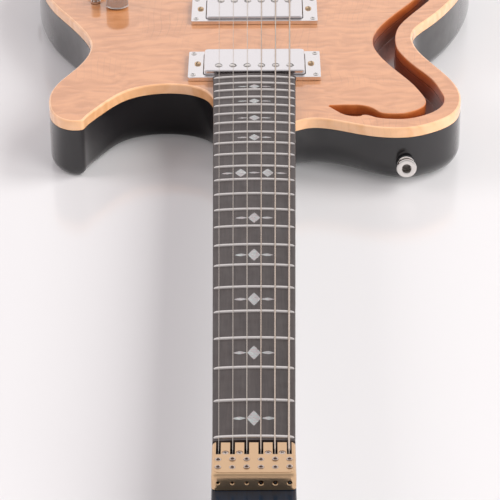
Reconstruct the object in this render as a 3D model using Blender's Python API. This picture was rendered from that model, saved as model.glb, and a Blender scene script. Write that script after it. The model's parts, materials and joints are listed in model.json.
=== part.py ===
"""A headless electric guitar with a figured maple cap, lying on its back.

Metres, +Z up, +Y from the head to the tail, +X towards the bass side. The origin is on the
flat back of the body, under the theoretical line of the saddles, on the centre line.
"""

import math

import bpy
import numpy as np

# Scale and strings
SCALE_LENGTH = 0.6477
FRET_COUNT = 22
STRING_SPREAD_ZERO = 0.0362
STRING_SPREAD_SADDLE = 0.0530
STRING_DIAMETERS = (0.00025, 0.00033, 0.00043, 0.00066, 0.00091, 0.00117)
STRING_SADDLE_HEIGHT = 0.0110
STRING_SIDES = 6
STRING_END_INSET = 0.0004
BALL_END_RADIUS = 0.0019
BALL_END_LENGTH = 0.0034

# Body
BODY_THICKNESS = 0.042
CAP_THICKNESS = 0.007
CAP_EDGE_ROUND = 0.0008
BASS_EDGE_ROUND = 0.009
TREBLE_EDGE_ROUND = 0.0065
EDGE_ROUND_BLEND = 0.060
FRONT_DRAWN_FOR = -0.175555
FRONT_FROM = -0.090
FRONT_BLEND = 0.090
HEEL_EXTRA_ROUND = 0.017
HEEL_AT = (0.045, -0.240)
HEEL_REACH = 0.060
CUTAWAY_EXTRA_ROUND = 0.006
CUTAWAY_AT = (-0.078, -0.190)
CUTAWAY_REACH = 0.040
OUTLINE_STEPS = 3
BACK_ROUND_STEPS = 3
NORMAL_BLUR = 0.006
CAP_NORMAL_BLUR = 0.002
CHANNEL_STEPS = 2
CHANNEL_DEPTH = 0.018
GAP = 0.0003
OVERSHOOT = 0.010
BORE_SIDES = 12
SMALL_BORE_SIDES = 8

# Neck and fretboard
BOARD_THICKNESS = 0.006
BOARD_RADIUS = 0.300
BOARD_WIDTH_ZERO = 0.0430
BOARD_WIDTH_LAST = 0.0566
BOARD_BEHIND_ZERO = 0.0032
BOARD_AFTER_LAST = 0.0062
BOARD_CORNER_ROUND = 0.003
FRET_WIDTH = 0.0026
FRET_HEIGHT = 0.0011
FRET_FOOT = 0.0005
FRET_END_INSET = 0.0004
BOARD_FACETS = 4
NECK_SIDES = 14
CORNER_STEPS = 3
NECK_DEPTH_ZERO = 0.0150
NECK_DEPTH_HEEL = 0.0185
NECK_POWER = 2.2
HEEL_START_POWER = 2.6
HEEL_POWER = 3.0
HEEL_FLARE_LENGTH = 0.020
THROAT_LENGTH = 0.012
NECK_JOINT_DRAWN = -0.2483
SHOULDER_DRAFT = 0.0004
TENON_WIDTH = 0.040
TENON_DEPTH = 0.0180
TENON_WALL = 0.0071
TENON_POWER = 9.0
TRUSS_CHANNEL_WIDTH = 0.0062
TRUSS_CHANNEL_DEPTH = 0.0090
TRUSS_ROD_SHORT = 0.0037
TRUSS_ROD_INSET = 0.0010
TRUSS_NUT_RADIUS = 0.0026
TRUSS_NUT_SIDES = 6
TRUSS_NUT_ACCESS = 0.0020
TRUSS_KEY_RADIUS = 0.0015
TRUSS_KEY_DEPTH = 0.0040

# Head
HEAD_STUB_LENGTH = 0.066
HEAD_STUB_DEPTH = 0.0150
HEAD_END_ROUND = 0.0025
STUB_POWER = 4.0
HEAD_PLATE_THICKNESS = 0.0018
HEAD_PLATE_INSET = 0.0004
HEADPIECE_FRONT = 0.0400
HEADPIECE_BACK = 0.0105
HEADPIECE_HEIGHT = 0.0102
HEADPIECE_TOP_RISE = 0.003
HEADPIECE_CORNER_ROUND = 0.003
HEADPIECE_SLOT_END = 0.0218
HEADPIECE_SLOT_WIDTH = 0.0025
HEADPIECE_SLOT_FLOOR = 0.0030
HEADPIECE_BORE_OVERLAP = 0.0010
CLAMP_SCREW_ROWS = (0.0265, 0.0338)
CLAMP_SCREW_RADIUS = 0.0016
STRING_HOLE_HEIGHT = 0.0042
STRING_HOLE_RADIUS_PLAIN = 0.0009
STRING_HOLE_RADIUS_WOUND = 0.0015

# Pickups
PICKUP_AFTER_BOARD = 0.003855
PICKUP_BRIDGE_Y = -0.0505
PICKUP_NECK_LIFT = 0.0038
PICKUP_BRIDGE_LIFT = 0.0022
RING_WIDTH = 0.0920
RING_LENGTH = 0.0455
RING_THICKNESS = 0.0027
RING_CORNER_ROUND = 0.001
RING_CLEARANCE = 0.0006
COVER_WIDTH = 0.0700
COVER_LENGTH = 0.0380
COVER_DEPTH = 0.0160
COVER_WALL = 0.0008
COVER_CORNER_ROUND = 0.0025
COVER_EDGE_ROUND = 0.0010
COIL_DEPTH = 0.0120
POLE_OFFSET = 0.0110
POLE_RADIUS = 0.0024
POLE_RISE = 0.0004
POLE_SIDES = 10
POLE_PITCH = 0.0099
PICKUP_CAVITY_DEPTH = 0.022
PICKUP_CAVITY_MARGIN = 0.0012

# Bridge
BRIDGE_PLATE_THICKNESS = 0.0030
BRIDGE_PLATE_FRONT = -0.0140
BRIDGE_PLATE_MARGIN = 0.0012
BRIDGE_PLATE_CORNER = 0.003
SADDLE_FRONT = -0.0060
SADDLE_BACK = 0.0092
SADDLE_WIDTH = 0.0098
SADDLE_CREST = 0.0014
SADDLE_FRONT_HEIGHT = 0.0042
SADDLE_BACK_HEIGHT = 0.0030
SADDLE_CLEARANCE = 0.0022
CARRIAGE_WIDTH = 0.0080
CARRIAGE_LENGTH = 0.0270
CARRIAGE_HEIGHT = 0.0086
CARRIAGE_WALL = 0.0020
CARRIAGE_TRAVEL = 0.0080
CARRIAGE_POCKET_WIDTH = 0.0046
CARRIAGE_SLOT_WIDTH = 0.0022
TUNER_AXIS_HEIGHT = 0.0080
TUNER_SCREW_RADIUS = 0.0020
TUNER_SCREW_CLEARANCE = 0.0003
TUNER_SCREW_TIP_GAP = 0.0024
TUNER_KNOB_RADIUS = 0.0049
TUNER_KNOB_NECK_RADIUS = 0.0042
TUNER_KNOB_NECK = 0.0022
TUNER_KNOB_BEVEL = 0.0014
TUNER_KNOB_GROOVE = 0.93
TUNER_KNOB_LENGTH = 0.0145
TUNER_KNOB_RIDGES = 8
END_BLOCK_LENGTH = 0.0120
END_BLOCK_HEIGHT = 0.0145
END_BLOCK_INSET = 0.0005
END_BLOCK_CLEARANCE = 0.0006
RIB_HEIGHT = 0.0070

# Controls
VOLUME_AT = (-0.1016, -0.0367)
TONE_AT = (-0.1195, 0.0160)
SWITCH_AT = (-0.1180, -0.0287)
KNOB_RADIUS = 0.0085
KNOB_HEIGHT = 0.0165
KNOB_CLEARANCE = 0.0008
KNOB_EDGE = 0.0006
KNOB_DOME = 0.0030
KNOB_ROOF = 0.0040
KNOB_GROOVE = 0.955
KNOB_RIDGES = 14
SHAFT_RADIUS = 0.0030
BUSHING_RADIUS = 0.0035
POT_RADIUS = 0.0083
POT_HEIGHT = 0.0100
POT_FLOOR = 0.0030
POT_SIDES = 16
POT_BUSHING_RISE = 0.0010
POT_NUT_RADIUS = 0.0055
POT_NUT_HEIGHT = 0.0020
SWITCH_BARREL_RADIUS = 0.0037
SWITCH_BARREL_TOP = 0.0110
SWITCH_BARREL_FOOT = 0.0028
SWITCH_BEVEL = 0.0004
SWITCH_STEM_RADIUS = 0.0016
SWITCH_STEM_DEPTH = 0.0040
SWITCH_BALL_RADIUS = 0.0026
SWITCH_ROOT_RADIUS = 0.0008
SWITCH_BUSHING_RADIUS = 0.0033
SWITCH_SEAT_RADIUS = 0.0029
SWITCH_SEAT_DEPTH = 0.0052
SWITCH_NUT_HEIGHT = 0.0014
SWITCH_BLOCK = (0.0120, 0.0130, 0.0110)
CONTROL_FRONT_MARGIN = 0.0012
CONTROL_TAIL_MARGIN = 0.0105
CONTROL_INNER_MARGIN = 0.0102
CONTROL_OUTER_MARGIN = 0.0006
CONTROL_CAVITY_TURN = 11.0
CONTROL_CAVITY_CORNER = 0.012
COVER_LEDGE = 0.0055
REAR_COVER_THICKNESS = 0.0020
JACK_AT = (0.0590, 0.0190)
JACK_WALL = 0.0185
JACK_BORE_FLOOR = 0.0020
JACK_BARREL_RADIUS = 0.0047
JACK_SOCKET_RADIUS = 0.00325
JACK_NUT_RADIUS = 0.0070
JACK_NUT_HEIGHT = 0.0025
JACK_INNER_RADIUS = 0.0062
JACK_LENGTH = 0.0330
JACK_HOLE_LENGTH = 0.0600

# Strap buttons
BUTTON_HORN_AT = (0.1008, 0.0165)
BUTTON_TAIL_AT = (0.0, 0.0200)
BUTTON_RADIUS = 0.0067
BUTTON_WAIST_RADIUS = 0.0042
BUTTON_BASE = 0.0018
BUTTON_LENGTH = 0.0090
BUTTON_FLANGE = 0.0024
BUTTON_BEVEL = 0.0006
BUTTON_RECESS_RADIUS = 0.0032
BUTTON_RECESS_DEPTH = 0.0050

# Derived places
BODY_TOP = BODY_THICKNESS
CAP_UNDERSIDE = BODY_TOP - CAP_THICKNESS
BOARD_TOP = BODY_TOP + BOARD_THICKNESS
ZERO_FRET_Y = -SCALE_LENGTH
STRING_COUNT = len(STRING_DIAMETERS)
STRING_PITCH_SADDLE = STRING_SPREAD_SADDLE / (STRING_COUNT - 1)
BOARD_END = ZERO_FRET_Y + SCALE_LENGTH * (1 - 2 ** (-FRET_COUNT / 12)) + BOARD_AFTER_LAST
FRONT_SHIFT = BOARD_END - FRONT_DRAWN_FOR
PICKUP_NECK_Y = BOARD_END + PICKUP_AFTER_BOARD + COVER_LENGTH / 2
NECK_BODY_JOINT = NECK_JOINT_DRAWN + FRONT_SHIFT
TRUSS_ROD_END = NECK_BODY_JOINT - TRUSS_ROD_SHORT
TENON_END = PICKUP_NECK_Y - COVER_LENGTH / 2 - PICKUP_CAVITY_MARGIN - TENON_WALL
HEADPIECE_TOP = BOARD_TOP + HEADPIECE_TOP_RISE
HEAD_PLATE_TOP = HEADPIECE_TOP - HEADPIECE_HEIGHT
STRING_HOLE_Z = HEAD_PLATE_TOP + GAP + STRING_HOLE_HEIGHT
BRIDGE_PLATE_TOP = BODY_TOP + GAP + BRIDGE_PLATE_THICKNESS
TUNER_AXIS_Z = BODY_TOP + TUNER_AXIS_HEIGHT
CARRIAGE_FRONT = SADDLE_BACK + CARRIAGE_TRAVEL + SADDLE_CLEARANCE
END_BLOCK_FRONT = CARRIAGE_FRONT + CARRIAGE_LENGTH + END_BLOCK_CLEARANCE
END_BLOCK_BACK = END_BLOCK_FRONT + END_BLOCK_LENGTH

# Body outline, anticlockwise from the heel: bass horn, waist, lower bout, tail, and back up
# the treble side to the pointed treble horn and its cutaway
BODY_OUTLINE = [
    (0.0000, -0.2475), (0.0200, -0.2468), (0.0285, -0.2425), (0.0360, -0.2386),
    (0.0500, -0.2398), (0.0700, -0.2486), (0.0880, -0.2539), (0.1040, -0.2532),
    (0.1200, -0.2452), (0.1330, -0.2318), (0.1396, -0.2120), (0.1402, -0.1950),
    (0.1360, -0.1740), (0.1255, -0.1470), (0.1165, -0.1230), (0.1133, -0.1040),
    (0.1163, -0.0830), (0.1245, -0.0680), (0.1380, -0.0445), (0.1510, -0.0150),
    (0.1625, 0.0250), (0.1670, 0.0640), (0.1590, 0.1000), (0.1340, 0.1290),
    (0.0900, 0.1445), (0.0400, 0.1495), (0.0000, 0.1500), (-0.0400, 0.1495),
    (-0.0900, 0.1445), (-0.1340, 0.1290), (-0.1592, 0.1000), (-0.1673, 0.0640),
    (-0.1642, 0.0250), (-0.1576, -0.0050), (-0.1490, -0.0304), (-0.1390, -0.0510),
    (-0.1268, -0.0765), (-0.1190, -0.0980), (-0.1168, -0.1140), (-0.1185, -0.1300),
    (-0.1260, -0.1535), (-0.1344, -0.1730), (-0.1395, -0.1940), (-0.1389, -0.2140),
    (-0.1339, -0.2305), (-0.1245, -0.2394), (-0.1185, -0.2403), (-0.1150, -0.2392),
    (-0.1130, -0.2350), (-0.1080, -0.2235), (-0.0983, -0.2056), (-0.0870, -0.1905),
    (-0.0720, -0.1820), (-0.0570, -0.1801), (-0.0430, -0.1835), (-0.0335, -0.1915),
    (-0.0285, -0.2030), (-0.0265, -0.2200), (-0.0250, -0.2380), (-0.0180, -0.2455),
]

# Sound channel: centre x, centre y and half width, from the tip by the neck round the bass
# horn, along the waist and down the lower bout
CHANNEL_PATH = [
    (0.0504, -0.2172, 0.0006), (0.0544, -0.2192, 0.0031), (0.0610, -0.2225, 0.0071),
    (0.0676, -0.2252, 0.0092), (0.0743, -0.2260, 0.0075), (0.0790, -0.2290, 0.0048),
    (0.0840, -0.2332, 0.0040), (0.0906, -0.2348, 0.0040), (0.0990, -0.2349, 0.0042),
    (0.1110, -0.2294, 0.0046), (0.1193, -0.2202, 0.0052), (0.1224, -0.2070, 0.0063),
    (0.1208, -0.1965, 0.0068), (0.1158, -0.1777, 0.0076), (0.1066, -0.1567, 0.0075),
    (0.0985, -0.1370, 0.0075), (0.0934, -0.1180, 0.0078), (0.0928, -0.1030, 0.0079),
    (0.0980, -0.0780, 0.0063), (0.1086, -0.0550, 0.0055), (0.1239, -0.0266, 0.0052),
    (0.1345, 0.0000, 0.0054), (0.1420, 0.0300, 0.0058), (0.1440, 0.0600, 0.0062),
    (0.1370, 0.0880, 0.0058), (0.1200, 0.1080, 0.0044), (0.1000, 0.1190, 0.0022),
    (0.0900, 0.1230, 0.0006),
]

COLOURS = {
    "figured_maple": ((0.74, 0.43, 0.28), 0.25, 0.0),
    "black_gloss": ((0.012, 0.011, 0.012), 0.15, 0.0),
    "ebony": ((0.045, 0.036, 0.036), 0.35, 0.0),
    "brass": ((0.66, 0.42, 0.22), 0.30, 1.0),
    "steel": ((0.62, 0.61, 0.60), 0.22, 1.0),
    "chrome": ((0.80, 0.78, 0.79), 0.10, 1.0),
    "dark_laminate": ((0.010, 0.014, 0.030), 0.25, 0.0),
    "coil_black": ((0.020, 0.020, 0.022), 0.45, 0.0),
    "cover_plastic": ((0.018, 0.018, 0.018), 0.40, 0.0),
}


def clear_scene():
    """Remove what the file opened with."""
    for thing in list(bpy.data.objects):
        bpy.data.objects.remove(thing, do_unlink=True)


def material(name):
    """The named finish as a Principled BSDF."""
    found = bpy.data.materials.get(name)
    if found:
        return found
    colour, roughness, metallic = COLOURS[name]
    made = bpy.data.materials.new(name)
    made.use_nodes = True
    shader = made.node_tree.nodes["Principled BSDF"]
    shader.inputs["Base Color"].default_value = (*colour, 1.0)
    shader.inputs["Roughness"].default_value = roughness
    shader.inputs["Metallic"].default_value = metallic
    return made


def spline(points, steps, closed):
    """Cubic spline through the points, spaced by chord length in the plane, in steps per span."""
    p = np.array(points, float)
    if closed:
        p = np.vstack([p, p[:1]])
    last = len(p) - 1
    h = np.linalg.norm(np.diff(p[:, :2], axis=0), axis=1)
    slope = np.diff(p, axis=0) / h[:, None]
    a = np.zeros((last + 1, last + 1))
    b = np.zeros_like(p)
    for i in range(1, last):
        a[i, i - 1:i + 2] = h[i - 1], 2 * (h[i - 1] + h[i]), h[i]
        b[i] = 6 * (slope[i] - slope[i - 1])
    a[0, 0] = 1
    a[last, last] = 1
    if closed:
        a[0, last] = -1
        a[last, [0, 1, last - 1, last]] = 2 * h[0], h[0], h[-1], 2 * h[-1]
        b[last] = 6 * (slope[0] - slope[-1])
    m = np.linalg.solve(a, b)
    t = np.linspace(0, 1, steps, endpoint=False)[:, None]
    spans = []
    for i in range(last):
        s = t * h[i]
        linear = slope[i] - h[i] * (2 * m[i] + m[i + 1]) / 6
        spans.append(p[i] + s * linear + s**2 * m[i] / 2 + s**3 * (m[i + 1] - m[i]) / (6 * h[i]))
    if not closed:
        spans.append(p[last:])
    return np.vstack(spans)


def follow_board(points):
    """Points of the body, the front ones carried along with the end of the fretboard."""
    moved = np.array(points, float)
    share = np.clip((FRONT_FROM - moved[:, 1]) / FRONT_BLEND, 0, 1)
    moved[:, 1] += FRONT_SHIFT * share**2 * (3 - 2 * share)
    return moved


def body_outline():
    """The body seen from above, as a closed smooth line."""
    return spline(follow_board(BODY_OUTLINE), OUTLINE_STEPS, closed=True)


def inward(outline, blur):
    """Inward normals of an anticlockwise outline, averaged over a length: shorter at sharp corners."""
    ahead = np.roll(outline, -1, axis=0)
    behind = np.roll(outline, 1, axis=0)
    tangent = ahead - behind
    weight = np.linalg.norm(tangent, axis=1) / 2
    tangent /= np.linalg.norm(tangent, axis=1)[:, None]
    normal = np.column_stack([-tangent[:, 1], tangent[:, 0]])
    step = np.linalg.norm(ahead - outline, axis=1)
    place = np.concatenate([[0], np.cumsum(step)[:-1]])
    apart = np.abs(place[:, None] - place[None, :])
    apart = np.minimum(apart, step.sum() - apart)
    share = np.exp(-((apart / blur) ** 2) / 2) * weight[None, :]
    return (share @ normal) / share.sum(axis=1)[:, None]


def flat_ring(outline, z):
    """The plane outline as a ring of points at one height."""
    return np.column_stack([outline, np.full(len(outline), z)])


def rounded_rectangle(width, length, radius, steps, centre=(0.0, 0.0), turn=0.0):
    """Anticlockwise rectangle with arcs at its corners, turned by an angle in degrees."""
    points = []
    for quarter, (sx, sy) in enumerate(((1, 1), (-1, 1), (-1, -1), (1, -1))):
        for k in range(steps + 1):
            angle = math.radians(90 * quarter + 90 * k / steps)
            points.append((
                sx * (width / 2 - radius) + radius * math.cos(angle),
                sy * (length / 2 - radius) + radius * math.sin(angle),
            ))
    c = math.cos(math.radians(turn))
    s = math.sin(math.radians(turn))
    return np.array([(centre[0] + c * x - s * y, centre[1] + s * x + c * y) for x, y in points])


def circle(radius, sides, centre=(0.0, 0.0), phase=0.0):
    """Anticlockwise regular polygon round a centre."""
    angles = phase + np.arange(sides) * 2 * math.pi / sides
    return np.column_stack([centre[0] + radius * np.cos(angles), centre[1] + radius * np.sin(angles)])


def loft(rings, joined=False):
    """Vertices and faces through rings of equal count, capped at both ends or joined into a loop."""
    count = len(rings[0])
    faces = []
    for k in range(len(rings) if joined else len(rings) - 1):
        low = k * count
        high = ((k + 1) % len(rings)) * count
        for i in range(count):
            j = (i + 1) % count
            faces.append((low + i, low + j, high + j, high + i))
    if not joined:
        faces.append(tuple(reversed(range(count))))
        faces.append(tuple(range((len(rings) - 1) * count, len(rings) * count)))
    return [tuple(v) for ring in rings for v in ring], faces


def prism(outline, low, high):
    """A plane outline carried straight up."""
    return loft([flat_ring(outline, low), flat_ring(outline, high)])


def block(low, high):
    """A box between two corners."""
    x0, y0, z0 = low
    x1, y1, z1 = high
    return prism(np.array([(x0, y0), (x1, y0), (x1, y1), (x0, y1)]), z0, z1)


def turned(profile, sides):
    """A profile of (radius, height) carried round +Z, closed at both ends on the axis."""
    rings = [np.column_stack([circle(r, sides), np.full(sides, z)]) for r, z in profile]
    return loft(rings)


def turned_cup(outer, inner, sides):
    """An outer profile going up and a bore profile coming down, both round +Z; the bore ends blind."""
    return turned(list(outer) + list(inner), sides)


def placed(shape, at=(0.0, 0.0, 0.0), towards="Z"):
    """A shape made round +Z, laid along another direction and moved to its place."""
    turn = {
        "Z": lambda x, y, z: (x, y, z),
        "Y": lambda x, y, z: (-x, z, y),
        "-Y": lambda x, y, z: (x, -z, y),
        "-X": lambda x, y, z: (-z, -x, y),
    }[towards]
    verts, faces = shape
    return [tuple(np.add(turn(*v), at)) for v in verts], faces


def joined(*shapes):
    """Several separate shapes as one list of vertices and faces."""
    verts = []
    faces = []
    for points, polygons in shapes:
        start = len(verts)
        verts.extend(points)
        faces.extend(tuple(start + i for i in polygon) for polygon in polygons)
    return verts, faces


def solid(name, shape, finish, parent=None):
    """A named sub-part from vertices and faces, under its parent empty if it has one."""
    verts, faces = shape
    if parent is not None:
        verts = [tuple(np.subtract(v, parent.location)) for v in verts]
    mesh = bpy.data.meshes.new(name)
    mesh.from_pydata(verts, [], faces)
    mesh.materials.append(material(finish))
    mesh.shade_smooth()
    mesh.set_sharp_from_angle(angle=math.radians(35))
    made = bpy.data.objects.new(name, mesh)
    bpy.context.collection.objects.link(made)
    made.parent = parent
    return made


def tool(name, shape, parent=None):
    """A cutter or an addition: wire only, left out of the model."""
    made = solid(name, shape, "coil_black", parent)
    made.hide_render = True
    made.display_type = "WIRE"
    return made


def combine(target, other, operation):
    """Boolean modifier of one object by another."""
    change = target.modifiers.new(operation.lower(), "BOOLEAN")
    change.operation = operation
    change.object = other
    change.solver = "EXACT"
    return target


def axis_empty(name, at):
    """An empty on a joint's axis, which carries what turns or slides there."""
    made = bpy.data.objects.new(name, None)
    made.location = at
    bpy.context.collection.objects.link(made)
    return made


def fret_y(number):
    """Distance along Y of a fret, by the rule of equal temperament."""
    return ZERO_FRET_Y + SCALE_LENGTH * (1 - 2 ** (-number / 12))


def board_half_width(y):
    """Half width of the fretboard and neck, growing evenly from the zero fret."""
    grown = (y - ZERO_FRET_Y) / (fret_y(FRET_COUNT) - ZERO_FRET_Y)
    return (BOARD_WIDTH_ZERO + (BOARD_WIDTH_LAST - BOARD_WIDTH_ZERO) * grown) / 2


def board_z(x):
    """Height of the fretboard's arched face."""
    return BOARD_TOP - x**2 / (2 * BOARD_RADIUS)


def string_x(number, y):
    """Sideways place of a string, counted from the treble side."""
    share = number / (STRING_COUNT - 1) - 0.5
    along = (y - ZERO_FRET_Y) / SCALE_LENGTH
    return share * (STRING_SPREAD_ZERO + (STRING_SPREAD_SADDLE - STRING_SPREAD_ZERO) * along)


def back_round(outline):
    """Radius of the back's edge along the outline: tighter on the treble side, fuller round the
    heel and in the cutaway."""
    side = np.clip((EDGE_ROUND_BLEND / 2 - outline[:, 0]) / EDGE_ROUND_BLEND, 0, 1)
    plain = BASS_EDGE_ROUND + (TREBLE_EDGE_ROUND - BASS_EDGE_ROUND) * side**2 * (3 - 2 * side)
    shift = (0.0, FRONT_SHIFT)
    heel = np.sum((outline - np.add(HEEL_AT, shift)) ** 2, axis=1) / HEEL_REACH**2
    cutaway = np.sum((outline - np.add(CUTAWAY_AT, shift)) ** 2, axis=1) / CUTAWAY_REACH**2
    return plain + HEEL_EXTRA_ROUND * np.exp(-heel) + CUTAWAY_EXTRA_ROUND * np.exp(-cutaway)


def channel_outline():
    """The sound channel seen from above: both edges of its centre path."""
    path = spline(follow_board(CHANNEL_PATH), CHANNEL_STEPS, closed=False)
    along = np.gradient(path[:, :2], axis=0)
    along /= np.linalg.norm(along, axis=1)[:, None]
    side = np.column_stack([-along[:, 1], along[:, 0]]) * path[:, 2:]
    return np.vstack([path[:, :2] - side, (path[:, :2] + side)[::-1]])


def pickup_cavity(y):
    """Routed pocket under a pickup, open at the top of the body."""
    outline = rounded_rectangle(
        COVER_WIDTH + 2 * PICKUP_CAVITY_MARGIN,
        COVER_LENGTH + 2 * PICKUP_CAVITY_MARGIN,
        COVER_CORNER_ROUND,
        2,
        (0.0, y),
    )
    return prism(outline, BODY_TOP - PICKUP_CAVITY_DEPTH, BODY_TOP + OVERSHOOT)


def tenon_pocket(margin):
    """Slot for the neck's tenon, open at the front and at the top."""
    half = TENON_WIDTH / 2 + margin
    return block(
        (-half, NECK_BODY_JOINT - OVERSHOOT, BODY_TOP - TENON_DEPTH - margin),
        (half, TENON_END + margin, BODY_TOP + OVERSHOOT),
    )


def control_outline(margin):
    """Outline of the control cavity, grown by a margin: from the volume control to the jack."""
    turn = math.radians(CONTROL_CAVITY_TURN)
    across = np.array([math.cos(turn), math.sin(turn)])
    along = np.array([-math.sin(turn), math.cos(turn)])
    jack_y = JACK_AT[0]
    jack = np.array([jack_inside(), jack_y - JACK_INNER_RADIUS])
    front = along @ VOLUME_AT - POT_RADIUS - CONTROL_FRONT_MARGIN
    tail = along @ jack + 2 * JACK_INNER_RADIUS + CONTROL_TAIL_MARGIN
    outer = across @ jack - CONTROL_OUTER_MARGIN
    inner = across @ VOLUME_AT + POT_RADIUS + CONTROL_INNER_MARGIN
    return rounded_rectangle(
        inner - outer + 2 * margin,
        tail - front + 2 * margin,
        CONTROL_CAVITY_CORNER + margin,
        CORNER_STEPS,
        across * (inner + outer) / 2 + along * (front + tail) / 2,
        CONTROL_CAVITY_TURN,
    )


def make_body():
    """Core, cap and rear cover, with the channel, the neck pocket and the cavities."""
    outline = body_outline()
    drawn_in = inward(outline, NORMAL_BLUR)
    radius = back_round(outline)[:, None]
    rings = []
    for k in range(BACK_ROUND_STEPS + 1):
        angle = math.pi / 2 * k / BACK_ROUND_STEPS
        shifted = outline + drawn_in * radius * (1 - math.sin(angle))
        rings.append(np.column_stack([shifted, radius * (1 - math.cos(angle))]))
    rings.append(flat_ring(outline, CAP_UNDERSIDE - GAP))
    core = solid("body_core", loft(rings), "black_gloss")
    channel = channel_outline()
    jack_y, jack_z = JACK_AT
    jack_hole = JACK_BARREL_RADIUS + GAP
    core_cuts = tool("core_cuts", joined(
        prism(channel, BODY_TOP - CHANNEL_DEPTH, BODY_TOP + OVERSHOOT),
        tenon_pocket(GAP),
        pickup_cavity(PICKUP_NECK_Y),
        pickup_cavity(PICKUP_BRIDGE_Y),
        prism(control_outline(0.0), REAR_COVER_THICKNESS, BODY_TOP),
    ))
    jack_bore = tool("jack_bore", placed(
        turned([(jack_hole, 0.0), (jack_hole, JACK_HOLE_LENGTH)], BORE_SIDES),
        (jack_inside() + OVERSHOOT, jack_y, jack_z),
        "-X",
    ))
    recess = tool("cover_recess", prism(control_outline(COVER_LEDGE), -OVERSHOOT, REAR_COVER_THICKNESS + GAP))
    combine(core, core_cuts, "DIFFERENCE")
    combine(core, jack_bore, "DIFFERENCE")
    combine(core, recess, "DIFFERENCE")

    shrink = inward(outline, CAP_NORMAL_BLUR) * CAP_EDGE_ROUND
    cap = solid("body_cap", loft([
        flat_ring(outline, CAP_UNDERSIDE),
        flat_ring(outline, BODY_TOP - CAP_EDGE_ROUND),
        flat_ring(outline + shrink, BODY_TOP),
    ]), "figured_maple")
    below = CAP_UNDERSIDE - OVERSHOOT
    above = BODY_TOP + OVERSHOOT
    through = []
    for at in (VOLUME_AT, TONE_AT, SWITCH_AT):
        through.append(prism(circle(BUSHING_RADIUS + GAP, BORE_SIDES, at), below, above))
    cap_cuts = tool("cap_cuts", joined(
        prism(channel, below, above),
        tenon_pocket(GAP),
        pickup_cavity(PICKUP_NECK_Y),
        pickup_cavity(PICKUP_BRIDGE_Y),
        *through,
    ))
    combine(cap, cap_cuts, "DIFFERENCE")
    solid("rear_cover", prism(control_outline(COVER_LEDGE - GAP), GAP, REAR_COVER_THICKNESS), "cover_plastic")


def neck_ring(y, half_width, depth, power):
    """Half superellipse below a flat top: the neck's cross-section."""
    angles = np.linspace(0, math.pi, NECK_SIDES + 1)
    x = -half_width * np.sign(np.cos(angles)) * np.abs(np.cos(angles)) ** (2 / power)
    z = BODY_TOP - depth * np.sin(angles) ** (2 / power)
    return np.column_stack([x, np.full(len(x), y), z])[::-1]


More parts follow.
